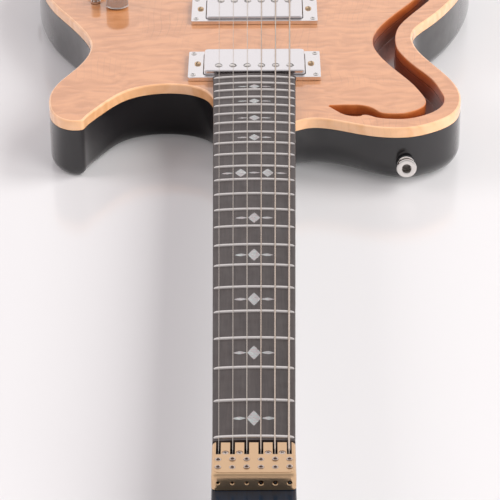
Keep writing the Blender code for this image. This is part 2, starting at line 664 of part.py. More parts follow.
def make_neck():
    """Neck with head stub and tenon, truss rod and its nut, and the head plate."""
    head_end = ZERO_FRET_Y - HEAD_STUB_LENGTH
    shelf = HEAD_PLATE_TOP - HEAD_PLATE_THICKNESS - GAP
    stub_depth = BODY_TOP - shelf + HEAD_STUB_DEPTH
    half_zero = board_half_width(ZERO_FRET_Y)
    throat = ZERO_FRET_Y + THROAT_LENGTH
    twelfth = fret_y(12)
    heel_start = NECK_BODY_JOINT - HEEL_FLARE_LENGTH
    middle_depth = (NECK_DEPTH_ZERO + NECK_DEPTH_HEEL) / 2
    stations = [
        (head_end, half_zero - HEAD_END_ROUND / 2, stub_depth - HEAD_END_ROUND, STUB_POWER),
        (head_end + HEAD_END_ROUND, half_zero, stub_depth, STUB_POWER),
        (ZERO_FRET_Y - THROAT_LENGTH, half_zero, stub_depth, HEEL_POWER),
        (throat, board_half_width(throat), NECK_DEPTH_ZERO, NECK_POWER),
        (twelfth, board_half_width(twelfth), middle_depth, NECK_POWER),
        (heel_start, board_half_width(heel_start), NECK_DEPTH_HEEL, HEEL_START_POWER),
        (NECK_BODY_JOINT, board_half_width(NECK_BODY_JOINT), NECK_DEPTH_HEEL, HEEL_POWER),
        (NECK_BODY_JOINT + SHOULDER_DRAFT, TENON_WIDTH / 2, TENON_DEPTH, TENON_POWER),
        (TENON_END, TENON_WIDTH / 2, TENON_DEPTH, TENON_POWER),
    ]
    neck = solid("neck", loft([neck_ring(*station) for station in stations]), "black_gloss")
    board_start = ZERO_FRET_Y - BOARD_BEHIND_ZERO
    cuts = tool("neck_cuts", block(
        (-BOARD_WIDTH_ZERO, head_end - OVERSHOOT, shelf),
        (BOARD_WIDTH_ZERO, board_start, BODY_TOP + OVERSHOOT),
    ))
    channel_half = TRUSS_CHANNEL_WIDTH / 2
    slot = tool("truss_slot", block(
        (-channel_half, ZERO_FRET_Y - HEADPIECE_BACK - TRUSS_NUT_ACCESS, BODY_TOP - TRUSS_CHANNEL_DEPTH),
        (channel_half, TRUSS_ROD_END + GAP, BODY_TOP + OVERSHOOT),
    ))
    combine(neck, cuts, "DIFFERENCE")
    combine(neck, slot, "DIFFERENCE")
    rod_start = board_start + TRUSS_ROD_INSET
    rod_low = BODY_TOP - TRUSS_CHANNEL_DEPTH + GAP
    solid("truss_rod", block(
        (-channel_half + GAP, rod_start, rod_low),
        (channel_half - GAP, TRUSS_ROD_END, BODY_TOP),
    ), "steel")
    nut_length = HEADPIECE_BACK - BOARD_BEHIND_ZERO
    nut_at = (0.0, rod_start - GAP - nut_length, rod_low + TRUSS_NUT_RADIUS)
    turning = axis_empty("truss_nut_axis", nut_at)
    nut = turned_cup(
        [(TRUSS_NUT_RADIUS, 0.0), (TRUSS_NUT_RADIUS, nut_length)],
        [(TRUSS_KEY_RADIUS, nut_length), (TRUSS_KEY_RADIUS, nut_length - TRUSS_KEY_DEPTH)],
        TRUSS_NUT_SIDES,
    )
    solid("truss_rod_nut", placed(nut, (nut_at[0], rod_start - GAP, nut_at[2]), "-Y"), "steel", turning)
    plate = rounded_rectangle(
        BOARD_WIDTH_ZERO - HEAD_PLATE_INSET,
        HEAD_STUB_LENGTH - HEADPIECE_BACK - HEAD_END_ROUND / 2,
        HEADPIECE_CORNER_ROUND,
        CORNER_STEPS,
        (0.0, ZERO_FRET_Y - (HEAD_STUB_LENGTH + HEADPIECE_BACK - HEAD_END_ROUND / 2) / 2),
    )
    solid("head_plate", prism(plate, HEAD_PLATE_TOP - HEAD_PLATE_THICKNESS, HEAD_PLATE_TOP), "dark_laminate")


def board_ring(y, half_width):
    """Cross-section of the fretboard: flat below, arched above."""
    low = BODY_TOP + GAP
    x = np.linspace(half_width, -half_width, BOARD_FACETS + 1)
    top = np.column_stack([x, np.full(len(x), y), board_z(x)])
    bottom = np.array([(-half_width, y, low), (half_width, y, low)])
    return np.vstack([top, bottom])[::-1]


def fret_bar(number):
    """One fret: a crowned bar bent to the fretboard's arch, its foot sunk into the board."""
    y = fret_y(number)
    half = board_half_width(y) - FRET_END_INSET
    rings = []
    for side in np.linspace(-half, half, BOARD_FACETS + 1):
        base = board_z(side)
        rings.append([
            (side, y + FRET_WIDTH / 2, base - FRET_FOOT),
            (side, y + FRET_WIDTH / 4, base + FRET_HEIGHT),
            (side, y - FRET_WIDTH / 4, base + FRET_HEIGHT),
            (side, y - FRET_WIDTH / 2, base - FRET_FOOT),
        ])
    return loft(rings)


def make_fretboard():
    """Arched fretboard with the zero fret and the numbered frets seated in it."""
    start = ZERO_FRET_Y - BOARD_BEHIND_ZERO
    rings = [board_ring(start, board_half_width(start))]
    for k in range(CORNER_STEPS + 1):
        angle = math.pi / 2 * k / CORNER_STEPS
        y = BOARD_END - BOARD_CORNER_ROUND * (1 - math.sin(angle))
        narrower = BOARD_CORNER_ROUND * (1 - math.cos(angle))
        rings.append(board_ring(y, board_half_width(y) - narrower))
    board = solid("fretboard", loft(rings), "ebony")
    frets = tool("frets", joined(*[fret_bar(number) for number in range(FRET_COUNT + 1)]))
    combine(board, frets, "UNION")


def make_headpiece():
    """Brass block that clamps the strings, with its slots, string holes and clamp screw holes."""
    front = ZERO_FRET_Y - HEADPIECE_FRONT
    back = ZERO_FRET_Y - HEADPIECE_BACK
    low = HEAD_PLATE_TOP + GAP
    half = BOARD_WIDTH_ZERO / 2
    corner = HEADPIECE_CORNER_ROUND
    outline = [(half, back), (-half, back)]
    turns = [math.pi / 2 * k / CORNER_STEPS for k in range(CORNER_STEPS + 1)]
    outline += [(-half + corner * (1 - math.cos(a)), front + corner * (1 - math.sin(a))) for a in turns]
    outline += [(half - corner * (1 - math.sin(a)), front + corner * (1 - math.cos(a))) for a in turns]
    piece = solid("headpiece", prism(np.array(outline), low, HEADPIECE_TOP), "brass")
    slots = []
    holes = []
    screws = []
    bore_length = HEADPIECE_FRONT - HEADPIECE_SLOT_END + 2 * HEADPIECE_BORE_OVERLAP
    for number in range(STRING_COUNT):
        x = string_x(number, ZERO_FRET_Y)
        slots.append(block(
            (x - HEADPIECE_SLOT_WIDTH / 2, ZERO_FRET_Y - HEADPIECE_SLOT_END, low + HEADPIECE_SLOT_FLOOR),
            (x + HEADPIECE_SLOT_WIDTH / 2, back + OVERSHOOT, HEADPIECE_TOP + OVERSHOOT),
        ))
        wide = STRING_HOLE_RADIUS_PLAIN if number < STRING_COUNT / 2 else STRING_HOLE_RADIUS_WOUND
        hole = turned([(wide, 0.0), (wide, bore_length)], SMALL_BORE_SIDES)
        holes.append(placed(hole, (x, front - HEADPIECE_BORE_OVERLAP, STRING_HOLE_Z), "Y"))
        for row in CLAMP_SCREW_ROWS:
            around = circle(CLAMP_SCREW_RADIUS, SMALL_BORE_SIDES, (x, ZERO_FRET_Y - row))
            screws.append(prism(around, STRING_HOLE_Z, HEADPIECE_TOP + OVERSHOOT))
    for name, shapes in (("string_slots", slots), ("string_holes", holes), ("screw_holes", screws)):
        combine(piece, tool(name, joined(*shapes)), "DIFFERENCE")


def string_saddle_z(number):
    """Height of a string's centre over its saddle, following the fretboard's arch."""
    return BODY_TOP + STRING_SADDLE_HEIGHT - string_x(number, 0.0) ** 2 / (2 * BOARD_RADIUS)


def make_strings():
    """Six strings from the clamp over the zero fret and the saddles to their ball ends."""
    ball_y = CARRIAGE_FRONT + CARRIAGE_WALL + GAP
    for number, diameter in enumerate(STRING_DIAMETERS):
        r = diameter / 2
        x_zero = string_x(number, ZERO_FRET_Y)
        x_saddle = string_x(number, 0.0)
        zero_z = board_z(x_zero) + FRET_HEIGHT + GAP + r
        route = [
            (x_zero, ZERO_FRET_Y - HEADPIECE_FRONT + STRING_END_INSET, STRING_HOLE_Z, r),
            (x_zero, ZERO_FRET_Y - HEADPIECE_SLOT_END, STRING_HOLE_Z, r),
            (x_zero, ZERO_FRET_Y, zero_z, r),
            (x_saddle, 0.0, string_saddle_z(number), r),
            (x_saddle, ball_y, TUNER_AXIS_Z, r),
            (x_saddle, ball_y, TUNER_AXIS_Z, BALL_END_RADIUS),
            (x_saddle, ball_y + BALL_END_LENGTH, TUNER_AXIS_Z, BALL_END_RADIUS),
        ]
        rings = []
        for x, y, z, wide in route:
            around = circle(wide, STRING_SIDES)
            rings.append(np.column_stack([x - around[:, 0], np.full(STRING_SIDES, y), z + around[:, 1]]))
        solid(f"string_{number + 1}", loft(rings), "steel")


def cover_outline(y, drawn, corner):
    """Outline of a pickup cover, drawn in on every side by a distance."""
    return rounded_rectangle(COVER_WIDTH - 2 * drawn, COVER_LENGTH - 2 * drawn, corner, 2, (0.0, y))


def make_pickup(name, y, lift):
    """Mounting ring, cover and coils with pole screws."""
    low = BODY_TOP + GAP
    below = BODY_TOP - OVERSHOOT
    above = BODY_TOP + OVERSHOOT
    frame = rounded_rectangle(RING_WIDTH, RING_LENGTH, RING_CORNER_ROUND, 1, (0.0, y))
    ring = solid(f"{name}_ring", prism(frame, low, low + RING_THICKNESS), "chrome")
    opening = cover_outline(y, -RING_CLEARANCE, COVER_CORNER_ROUND + RING_CLEARANCE)
    combine(ring, tool(f"{name}_ring_opening", prism(opening, below, above)), "DIFFERENCE")
    ring_front = y - RING_LENGTH / 2
    if BOARD_END > ring_front:
        half = board_half_width(BOARD_END) + GAP
        notch = block((-half, ring_front - OVERSHOOT, below), (half, BOARD_END + GAP, above))
        combine(ring, tool(f"{name}_ring_notch", notch), "DIFFERENCE")

    top = low + RING_THICKNESS + lift
    bottom = top - COVER_DEPTH
    outer = [
        flat_ring(cover_outline(y, 0.0, COVER_CORNER_ROUND), bottom),
        flat_ring(cover_outline(y, 0.0, COVER_CORNER_ROUND), top - COVER_EDGE_ROUND),
        flat_ring(cover_outline(y, COVER_EDGE_ROUND, COVER_CORNER_ROUND - COVER_EDGE_ROUND / 2), top),
    ]
    cover = solid(f"{name}_cover", loft(outer), "chrome")
    inner_corner = COVER_CORNER_ROUND - COVER_WALL
    hollow = prism(cover_outline(y, COVER_WALL, inner_corner), bottom - OVERSHOOT, top - COVER_WALL)
    combine(cover, tool(f"{name}_hollow", hollow), "DIFFERENCE")
    pole_y = y + math.copysign(POLE_OFFSET, y - (PICKUP_NECK_Y + PICKUP_BRIDGE_Y) / 2)
    poles = []
    holes = []
    for number in range(STRING_COUNT):
        at = ((number - (STRING_COUNT - 1) / 2) * POLE_PITCH, pole_y)
        poles.append(prism(circle(POLE_RADIUS, POLE_SIDES, at), bottom + COIL_DEPTH / 2, top + POLE_RISE))
        holes.append(prism(circle(POLE_RADIUS + GAP, POLE_SIDES, at), top - 3 * COVER_WALL, above))
    combine(cover, tool(f"{name}_pole_holes", joined(*holes)), "DIFFERENCE")
    winding = prism(cover_outline(y, COVER_WALL + GAP, inner_corner), bottom, bottom + COIL_DEPTH)
    coils = solid(f"{name}_coils", winding, "coil_black")
    combine(coils, tool(f"{name}_poles", joined(*poles)), "UNION")


def make_bridge():
    """Brass bridge: plate with guide ribs and end block, saddles, carriages and tuner knobs."""
    floor = BODY_TOP + GAP
    half = STRING_PITCH_SADDLE * STRING_COUNT / 2 + BRIDGE_PLATE_MARGIN
    rib_width = STRING_PITCH_SADDLE - CARRIAGE_WIDTH - 2 * GAP
    plate = rounded_rectangle(
        2 * half,
        END_BLOCK_BACK - BRIDGE_PLATE_FRONT,
        BRIDGE_PLATE_CORNER,
        2,
        (0.0, (END_BLOCK_BACK + BRIDGE_PLATE_FRONT) / 2),
    )
    base = solid("bridge_base", prism(plate, floor, BRIDGE_PLATE_TOP), "brass")
    sunk = (floor + BRIDGE_PLATE_TOP) / 2
    added = [block(
        (-half, END_BLOCK_FRONT, sunk),
        (half, END_BLOCK_BACK - END_BLOCK_INSET, floor + END_BLOCK_HEIGHT),
    )]
    rib_front = CARRIAGE_FRONT - CARRIAGE_TRAVEL - END_BLOCK_CLEARANCE
    for k in range(STRING_COUNT + 1):
        x = (k - STRING_COUNT / 2) * STRING_PITCH_SADDLE
        added.append(block(
            (x - rib_width / 2, rib_front, sunk),
            (x + rib_width / 2, END_BLOCK_FRONT + END_BLOCK_INSET, BRIDGE_PLATE_TOP + RIB_HEIGHT),
        ))
    for k, shape in enumerate(added):
        combine(base, tool(f"bridge_rib_{k}", shape), "UNION")
    wide = TUNER_SCREW_RADIUS + TUNER_SCREW_CLEARANCE
    bores = []
    for number in range(STRING_COUNT):
        bore = turned([(wide, -OVERSHOOT), (wide, END_BLOCK_LENGTH + OVERSHOOT)], SMALL_BORE_SIDES)
        bores.append(placed(bore, (string_x(number, 0.0), END_BLOCK_FRONT, TUNER_AXIS_Z), "Y"))
    combine(base, tool("bridge_bores", joined(*bores)), "DIFFERENCE")
    for number in range(STRING_COUNT):
        make_saddle(number)
        make_carriage(number)
        make_tuner_knob(number)


def make_saddle(number):
    """Brass saddle: a ridged block under its string."""
    x = string_x(number, 0.0)
    crown = string_saddle_z(number) - STRING_DIAMETERS[number] / 2 - GAP
    low = BRIDGE_PLATE_TOP + GAP
    section = [
        (SADDLE_FRONT, low), (SADDLE_BACK, low), (SADDLE_BACK, low + SADDLE_BACK_HEIGHT),
        (SADDLE_CREST, crown), (-SADDLE_CREST, crown), (SADDLE_FRONT, low + SADDLE_FRONT_HEIGHT),
    ]
    rings = [[(x + side * SADDLE_WIDTH / 2, y, z) for y, z in section] for side in (-1, 1)]
    solid(f"saddle_{number + 1}", loft(rings), "brass")


def make_carriage(number):
    """String carriage: a pocket for the ball end, a slot for the string, a bore for the screw."""
    x = string_x(number, 0.0)
    low = BRIDGE_PLATE_TOP + GAP
    high = low + CARRIAGE_HEIGHT
    slider = axis_empty(f"carriage_axis_{number + 1}", (x, CARRIAGE_FRONT, TUNER_AXIS_Z))
    half = CARRIAGE_WIDTH / 2
    carriage = solid(f"carriage_{number + 1}", block(
        (x - half, CARRIAGE_FRONT, low), (x + half, CARRIAGE_FRONT + CARRIAGE_LENGTH, high),
    ), "brass", slider)
    pocket = CARRIAGE_POCKET_WIDTH / 2
    slot = CARRIAGE_SLOT_WIDTH / 2
    pocket_start = CARRIAGE_FRONT + CARRIAGE_WALL
    pocket_end = pocket_start + BALL_END_LENGTH + CARRIAGE_TRAVEL + 3 * GAP
    clear = TUNER_SCREW_RADIUS + TUNER_SCREW_CLEARANCE
    cuts = (
        ("ball_pocket", block(
            (x - pocket, pocket_start, TUNER_AXIS_Z - BALL_END_RADIUS - GAP),
            (x + pocket, pocket_end, high + OVERSHOOT),
        )),
        ("string_slot", block(
            (x - slot, CARRIAGE_FRONT - OVERSHOOT, TUNER_AXIS_Z - slot),
            (x + slot, pocket_start + CARRIAGE_WALL / 2, high + OVERSHOOT),
        )),
        ("screw_bore", placed(
            turned([(clear, 0.0), (clear, CARRIAGE_LENGTH)], SMALL_BORE_SIDES),
            (x, pocket_end - CARRIAGE_WALL, TUNER_AXIS_Z),
            "Y",
        )),
    )
    for name, shape in cuts:
        combine(carriage, tool(f"{name}_{number + 1}", shape, slider), "DIFFERENCE")


def make_tuner_knob(number):
    """Knurled tuner knob with the screw that draws its carriage."""
    x = string_x(number, 0.0)
    spinner = axis_empty(f"tuner_axis_{number + 1}", (x, END_BLOCK_BACK, TUNER_AXIS_Z))
    screw_tip = CARRIAGE_FRONT + CARRIAGE_WALL + BALL_END_LENGTH + TUNER_SCREW_TIP_GAP
    face = END_BLOCK_BACK + GAP
    sides = 2 * TUNER_KNOB_RIDGES
    ridged = np.where(np.arange(sides) % 2 == 0, 1.0, TUNER_KNOB_GROOVE)
    plain = np.ones(sides)
    profile = [
        (TUNER_SCREW_RADIUS, screw_tip, plain),
        (TUNER_SCREW_RADIUS, face, plain),
        (TUNER_KNOB_NECK_RADIUS, face, plain),
        (TUNER_KNOB_RADIUS, face + TUNER_KNOB_NECK, ridged),
        (TUNER_KNOB_RADIUS, face + TUNER_KNOB_LENGTH - TUNER_KNOB_BEVEL, ridged),
        (TUNER_KNOB_NECK_RADIUS, face + TUNER_KNOB_LENGTH, plain),
    ]
    rings = []
    for wide, y, pattern in profile:
        around = circle(wide, sides) * pattern[:, None]
        rings.append(np.column_stack([x - around[:, 0], np.full(sides, y), TUNER_AXIS_Z + around[:, 1]]))
    solid(f"tuner_knob_{number + 1}", loft(rings), "brass", spinner)


def make_control(name, at):
    """Potentiometer under the cap, its shaft, and the knurled knob pressed on the shaft."""
    place = (*at, 0.0)
    can_top = CAP_UNDERSIDE - GAP
    can_low = can_top - POT_HEIGHT
    nut_low = BODY_TOP + GAP
    nut_top = nut_low + POT_NUT_HEIGHT
    bushing_top = nut_top + POT_BUSHING_RISE
    bore = SHAFT_RADIUS + GAP
    can = turned_cup(
        [
            (POT_RADIUS, can_low), (POT_RADIUS, can_top), (BUSHING_RADIUS, can_top),
            (BUSHING_RADIUS, nut_low), (POT_NUT_RADIUS, nut_low), (POT_NUT_RADIUS, nut_top),
            (BUSHING_RADIUS, nut_top), (BUSHING_RADIUS, bushing_top),
        ],
        [(bore, bushing_top), (bore, can_low + POT_FLOOR)],
        POT_SIDES,
    )
    solid(f"{name}_pot", placed(can, place), "steel")

    spinner = axis_empty(f"{name}_axis", (*at, BODY_TOP))
    foot = BODY_TOP + KNOB_CLEARANCE
    crown = foot + KNOB_HEIGHT
    shaft_top = crown - KNOB_ROOF
    shaft = turned([(SHAFT_RADIUS, can_low + POT_FLOOR + GAP), (SHAFT_RADIUS, shaft_top)], POT_SIDES)
    solid(f"{name}_shaft", placed(shaft, place), "steel", spinner)
    sides = 2 * KNOB_RIDGES
    ridged = np.where(np.arange(sides) % 2 == 0, 1.0, KNOB_GROOVE)
    plain = np.ones(sides)
    skirt = POT_NUT_RADIUS + KNOB_CLEARANCE
    ceiling = bushing_top + KNOB_CLEARANCE
    profile = [
        (bore, shaft_top + GAP, plain), (bore, ceiling, plain), (skirt, ceiling, plain), (skirt, foot, plain),
        (KNOB_RADIUS - KNOB_EDGE, foot, plain), (KNOB_RADIUS, foot + KNOB_EDGE, ridged),
        (KNOB_RADIUS, crown - KNOB_DOME, ridged), (KNOB_RADIUS - KNOB_EDGE, crown - KNOB_DOME / 3, plain),
        (KNOB_RADIUS - 3 * KNOB_EDGE, crown, plain),
    ]
    rings = [flat_ring(circle(wide, sides) * pattern[:, None], z) for wide, z, pattern in profile]
    solid(f"{name}_knob", placed(loft(rings), place), "steel", spinner)


def make_switch():
    """Three-way toggle: its block and nut in the cap, and its barrel-shaped lever on a ball."""
    x, y = SWITCH_AT
    place = (x, y, 0.0)
    wide, long, deep = SWITCH_BLOCK
    top = CAP_UNDERSIDE - GAP
    nut_low = BODY_TOP + GAP
    nut_top = nut_low + SWITCH_NUT_HEIGHT
    frame = block((x - wide / 2, y - long / 2, top - deep), (x + wide / 2, y + long / 2, top))
    body = solid("switch_body", frame, "steel")
    bushing = turned(
        [
            (SWITCH_BUSHING_RADIUS, top - SWITCH_NUT_HEIGHT), (SWITCH_BUSHING_RADIUS, nut_low),
            (SWITCH_BARREL_RADIUS, nut_low), (SWITCH_BARREL_RADIUS, nut_top),
        ],
        BORE_SIDES,
    )
    combine(body, tool("switch_bushing", placed(bushing, place)), "UNION")
    seat = turned(
        [
            (SWITCH_ROOT_RADIUS + GAP, BODY_TOP - SWITCH_SEAT_DEPTH),
            (SWITCH_SEAT_RADIUS, BODY_TOP - SWITCH_BALL_RADIUS / 2),
            (SWITCH_SEAT_RADIUS, nut_top + OVERSHOOT),
        ],
        BORE_SIDES,
    )
    combine(body, tool("switch_seat", placed(seat, place)), "DIFFERENCE")
    pivot = axis_empty("switch_axis", (x, y, BODY_TOP))
    foot = BODY_TOP + SWITCH_BARREL_FOOT
    tip = BODY_TOP + SWITCH_BARREL_TOP
    ball = []
    for angle in (-50, -25, 0, 25, 50):
        turn = math.radians(angle)
        ball.append((SWITCH_BALL_RADIUS * math.cos(turn), BODY_TOP + SWITCH_BALL_RADIUS * math.sin(turn)))
    profile = [(SWITCH_ROOT_RADIUS, BODY_TOP - SWITCH_STEM_DEPTH), *ball, (SWITCH_STEM_RADIUS, foot)]
    profile += [(SWITCH_BARREL_RADIUS - SWITCH_BEVEL, foot), (SWITCH_BARREL_RADIUS, foot + SWITCH_BEVEL)]
    profile += [(SWITCH_BARREL_RADIUS, tip - 3 * SWITCH_BEVEL), (SWITCH_BARREL_RADIUS - 2 * SWITCH_BEVEL, tip)]
    lever = turned(profile, POT_SIDES)
    solid("switch_lever", placed(lever, place), "steel", pivot)


def crossings(value, axis):
    """Where the body's outline crosses a line of constant X (axis 0) or Y (axis 1)."""
    outline = body_outline()
    found = []
    for start, end in zip(outline, np.roll(outline, -1, axis=0)):
        if (start[axis] - value) * (end[axis] - value) <= 0 and start[axis] != end[axis]:
            share = (value - start[axis]) / (end[axis] - start[axis])
            found.append(start[1 - axis] + (end[1 - axis] - start[1 - axis]) * share)
    return found


def outline_x(y, side):
    """Side of the body at a place along it: treble (-1) or bass (+1)."""
    found = crossings(y, 1)
    return max(found) if side > 0 else min(found)


def outline_y(x, side):
    """Front (-1) or tail (+1) of the body at a place across it."""
    found = crossings(x, 0)
    return max(found) if side > 0 else min(found)


def jack_inside():
    """Where the output jack's frame starts, inside the wall of the control cavity."""
    return outline_x(JACK_AT[0], -1) + JACK_WALL


def make_jack():
    """Output socket through the treble side: nut outside, barrel through the wall, frame inside."""
    y, z = JACK_AT
    wall = min(outline_x(y + shift, -1) for shift in (-JACK_NUT_RADIUS, 0.0, JACK_NUT_RADIUS))
    inside = jack_inside()
    depth = inside - wall
    rear = depth - JACK_LENGTH
    nut_low = depth + GAP
    nut_top = nut_low + JACK_NUT_HEIGHT
    profile = [
        (JACK_INNER_RADIUS, rear), (JACK_INNER_RADIUS, 0.0), (JACK_BARREL_RADIUS, 0.0),
        (JACK_BARREL_RADIUS, nut_low), (JACK_NUT_RADIUS, nut_low), (JACK_NUT_RADIUS, nut_top),
    ]
    bore = [(JACK_SOCKET_RADIUS, nut_top), (JACK_SOCKET_RADIUS, rear + JACK_BORE_FLOOR)]
    solid("output_jack", placed(turned_cup(profile, bore, BORE_SIDES), (inside, y, z), "-X"), "steel")


def make_strap_button(name, at, towards):
    """Turned strap button with a base flange, a waist and a recessed face."""
    flange_low = BUTTON_LENGTH - BUTTON_FLANGE
    profile = [
        (BUTTON_RADIUS, GAP), (BUTTON_RADIUS, BUTTON_BASE), (BUTTON_WAIST_RADIUS, BUTTON_BASE + BUTTON_BEVEL),
        (BUTTON_WAIST_RADIUS, flange_low), (BUTTON_RADIUS, flange_low + BUTTON_BEVEL),
        (BUTTON_RADIUS, BUTTON_LENGTH - BUTTON_BEVEL), (BUTTON_RADIUS - BUTTON_BEVEL, BUTTON_LENGTH),
    ]
    floor = BUTTON_LENGTH - BUTTON_RECESS_DEPTH
    recess = [(BUTTON_RECESS_RADIUS, BUTTON_LENGTH), (BUTTON_RECESS_RADIUS, floor)]
    solid(name, placed(turned_cup(profile, recess, POT_SIDES), at, towards), "chrome")


def make_strap_buttons():
    """One button on the bass horn's front face, one at the tail."""
    x, z = BUTTON_HORN_AT
    y = min(outline_y(x + shift, -1) for shift in (-BUTTON_RADIUS, 0.0, BUTTON_RADIUS))
    make_strap_button("strap_button_horn", (x, y, z), "-Y")
    x, z = BUTTON_TAIL_AT
    make_strap_button("strap_button_tail", (x, outline_y(x, 1), z), "Y")


def build():
    """The whole guitar."""
    clear_scene()
    make_body()
    make_neck()
    make_fretboard()
    make_headpiece()
    make_strings()
    make_pickup("neck_pickup", PICKUP_NECK_Y, PICKUP_NECK_LIFT)
    make_pickup("bridge_pickup", PICKUP_BRIDGE_Y, PICKUP_BRIDGE_LIFT)
    make_bridge()
    make_control("volume", VOLUME_AT)
    make_control("tone", TONE_AT)
    make_switch()
    make_jack()
    make_strap_buttons()


build()
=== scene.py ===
"""Headless electric guitar on a pale floor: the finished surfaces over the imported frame."""

import json
import math

import bpy
import numpy as np
from mathutils import Matrix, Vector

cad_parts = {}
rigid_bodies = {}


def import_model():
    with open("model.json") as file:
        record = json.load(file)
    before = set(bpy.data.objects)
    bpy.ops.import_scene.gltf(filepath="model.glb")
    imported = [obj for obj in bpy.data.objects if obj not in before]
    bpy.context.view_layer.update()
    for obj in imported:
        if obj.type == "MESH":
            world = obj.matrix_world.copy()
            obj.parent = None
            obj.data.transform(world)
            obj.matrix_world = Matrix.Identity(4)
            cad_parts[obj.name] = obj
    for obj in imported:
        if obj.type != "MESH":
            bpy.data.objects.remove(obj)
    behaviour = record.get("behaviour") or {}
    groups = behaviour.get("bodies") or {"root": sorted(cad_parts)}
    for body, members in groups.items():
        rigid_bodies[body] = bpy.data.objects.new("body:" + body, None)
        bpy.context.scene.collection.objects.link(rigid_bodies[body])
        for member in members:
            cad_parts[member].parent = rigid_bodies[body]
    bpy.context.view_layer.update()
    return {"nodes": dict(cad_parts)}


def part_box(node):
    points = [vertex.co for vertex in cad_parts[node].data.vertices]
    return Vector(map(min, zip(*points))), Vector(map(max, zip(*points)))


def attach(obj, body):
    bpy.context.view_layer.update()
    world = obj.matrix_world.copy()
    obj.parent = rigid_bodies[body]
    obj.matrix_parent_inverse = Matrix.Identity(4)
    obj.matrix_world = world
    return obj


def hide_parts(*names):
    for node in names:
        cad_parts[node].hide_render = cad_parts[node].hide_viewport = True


for left_over in list(bpy.data.objects):
    bpy.data.objects.remove(left_over, do_unlink=True)
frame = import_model()


# Camera, floor and lamps
# The photograph looks along the neck from the head, down on to the playing face, through a
# long lens. The guitar lies on its back on a white table, between two broad lamps at its right and
# one at its left.
scene = bpy.context.scene
scene.view_settings.view_transform = "Standard"

camera_data = bpy.data.cameras.new("camera")
camera_data.sensor_fit = "HORIZONTAL"
camera_data.sensor_width = 36.0
camera_data.lens = 175.4986
camera = bpy.data.objects.new("camera", camera_data)
scene.collection.objects.link(camera)
scene.camera = camera

CAMERA_AT = (0.00459, -1.72069, 0.71619)
yaw, pitch, roll = -5.48051793e-03, 4.80593349e-01, 7.27344931e-03
ahead = np.array([math.sin(yaw) * math.cos(pitch), math.cos(yaw) * math.cos(pitch), -math.sin(pitch)])
level = np.array([math.cos(yaw), -math.sin(yaw), 0.0])
down = np.cross(ahead, level)
right = math.cos(roll) * level + math.sin(roll) * down
up = math.sin(roll) * level - math.cos(roll) * down
placed_camera = np.eye(4)
placed_camera[:3, :3] = np.column_stack([right, up, -ahead])
placed_camera[:3, 3] = CAMERA_AT
camera.matrix_world = Matrix(placed_camera.tolist())


def fill(tree, sockets, values):
    """Each socket takes a plain value, or a link from the output of another node."""
    for key, value in values.items():
        if isinstance(value, bpy.types.NodeSocket):
            tree.links.new(value, sockets[key])
        else:
            sockets[key].default_value = value


def add(tree, kind, settings, inputs):
    """One shader node with its settings and inputs."""
    node = tree.nodes.new("ShaderNode" + kind)
    for key, value in settings.items():
        setattr(node, key, value)
    fill(tree, node.inputs, inputs)
    return node


def sum_of(tree, operation, a, b=0.0, c=0.0):
    """The result of one sum on numbers or sockets."""
    return add(tree, "Math", {"operation": operation}, {0: a, 1: b, 2: c}).outputs[0]


def vector_sum(tree, operation, a, b):
    """The result of one sum on two vectors, or of a vector scaled by a number."""
    second = "Scale" if operation == "SCALE" else 1
    return add(tree, "VectorMath", {"operation": operation}, {0: a, second: b}).outputs[0]


def ranged(tree, value, start, end, low=0.0, high=1.0, kind="LINEAR"):
    """A number carried from one range over to another, and held within it."""
    inputs = {"Value": value, "From Min": start, "From Max": end, "To Min": low, "To Max": high}
    return add(tree, "MapRange", {"clamp": True, "interpolation_type": kind}, inputs).outputs[0]


def noise(tree, where, detail=2.0, roughness=0.5, scale=1.0):
    """A number from 0 to 1 that drifts from cell to cell, the finer the more detail."""
    inputs = {"Vector": where, "Scale": scale, "Detail": detail, "Roughness": roughness}
    return add(tree, "TexNoise", {}, inputs).outputs["Fac"]


def between(tree, factor, a, b):
    """The colour that lies between two others, by a factor from 0 to 1."""
    return add(tree, "Mix", {"data_type": "RGBA"}, {0: factor, 6: a, 7: b}).outputs[2]


def stretched(tree, scale):
    """The piece's own coordinates in metres, multiplied by so many cells per metre."""
    own = add(tree, "TexCoord", {}, {}).outputs["Object"]
    return add(tree, "Mapping", {}, {"Vector": own, "Scale": scale}).outputs[0]


def bumped(tree, sockets, height, strength, distance):
    """The normal among the sockets follows a height."""
    made = add(tree, "Bump", {}, {"Strength": strength, "Distance": distance, "Height": height})
    fill(tree, sockets, {"Normal": made.outputs[0]})


def ramp(tree, factor, *stops):
    """A colour that runs through the given (place, colour) stops."""
    node = add(tree, "ValToRGB", {}, {"Fac": factor})
    band = node.color_ramp.elements
    for place, colour in stops[2:]:
        band.new(place).color = (*colour, 1.0)
    for stop, (place, colour) in zip(sorted(band, key=lambda e: e.position), sorted(stops)):
        stop.position = place
        stop.color = (*colour, 1.0)
    return node.outputs["Color"]


def finish_of(name, base, roughness, metallic=0.0, **sockets):
    """A material with one Principled BSDF, its plain values on the shader's own sockets. What
    comes back is the material, its tree and the shader's inputs."""
    made = bpy.data.materials.new(name)
    made.use_nodes = True
    tree = made.node_tree
    shader = tree.nodes["Principled BSDF"].inputs
    fill(tree, shader, {"Base Color": (*base, 1.0), "Roughness": roughness, "Metallic": metallic})
    fill(tree, shader, {key.replace("_", " "): value for key, value in sockets.items()})
    return made, tree, shader


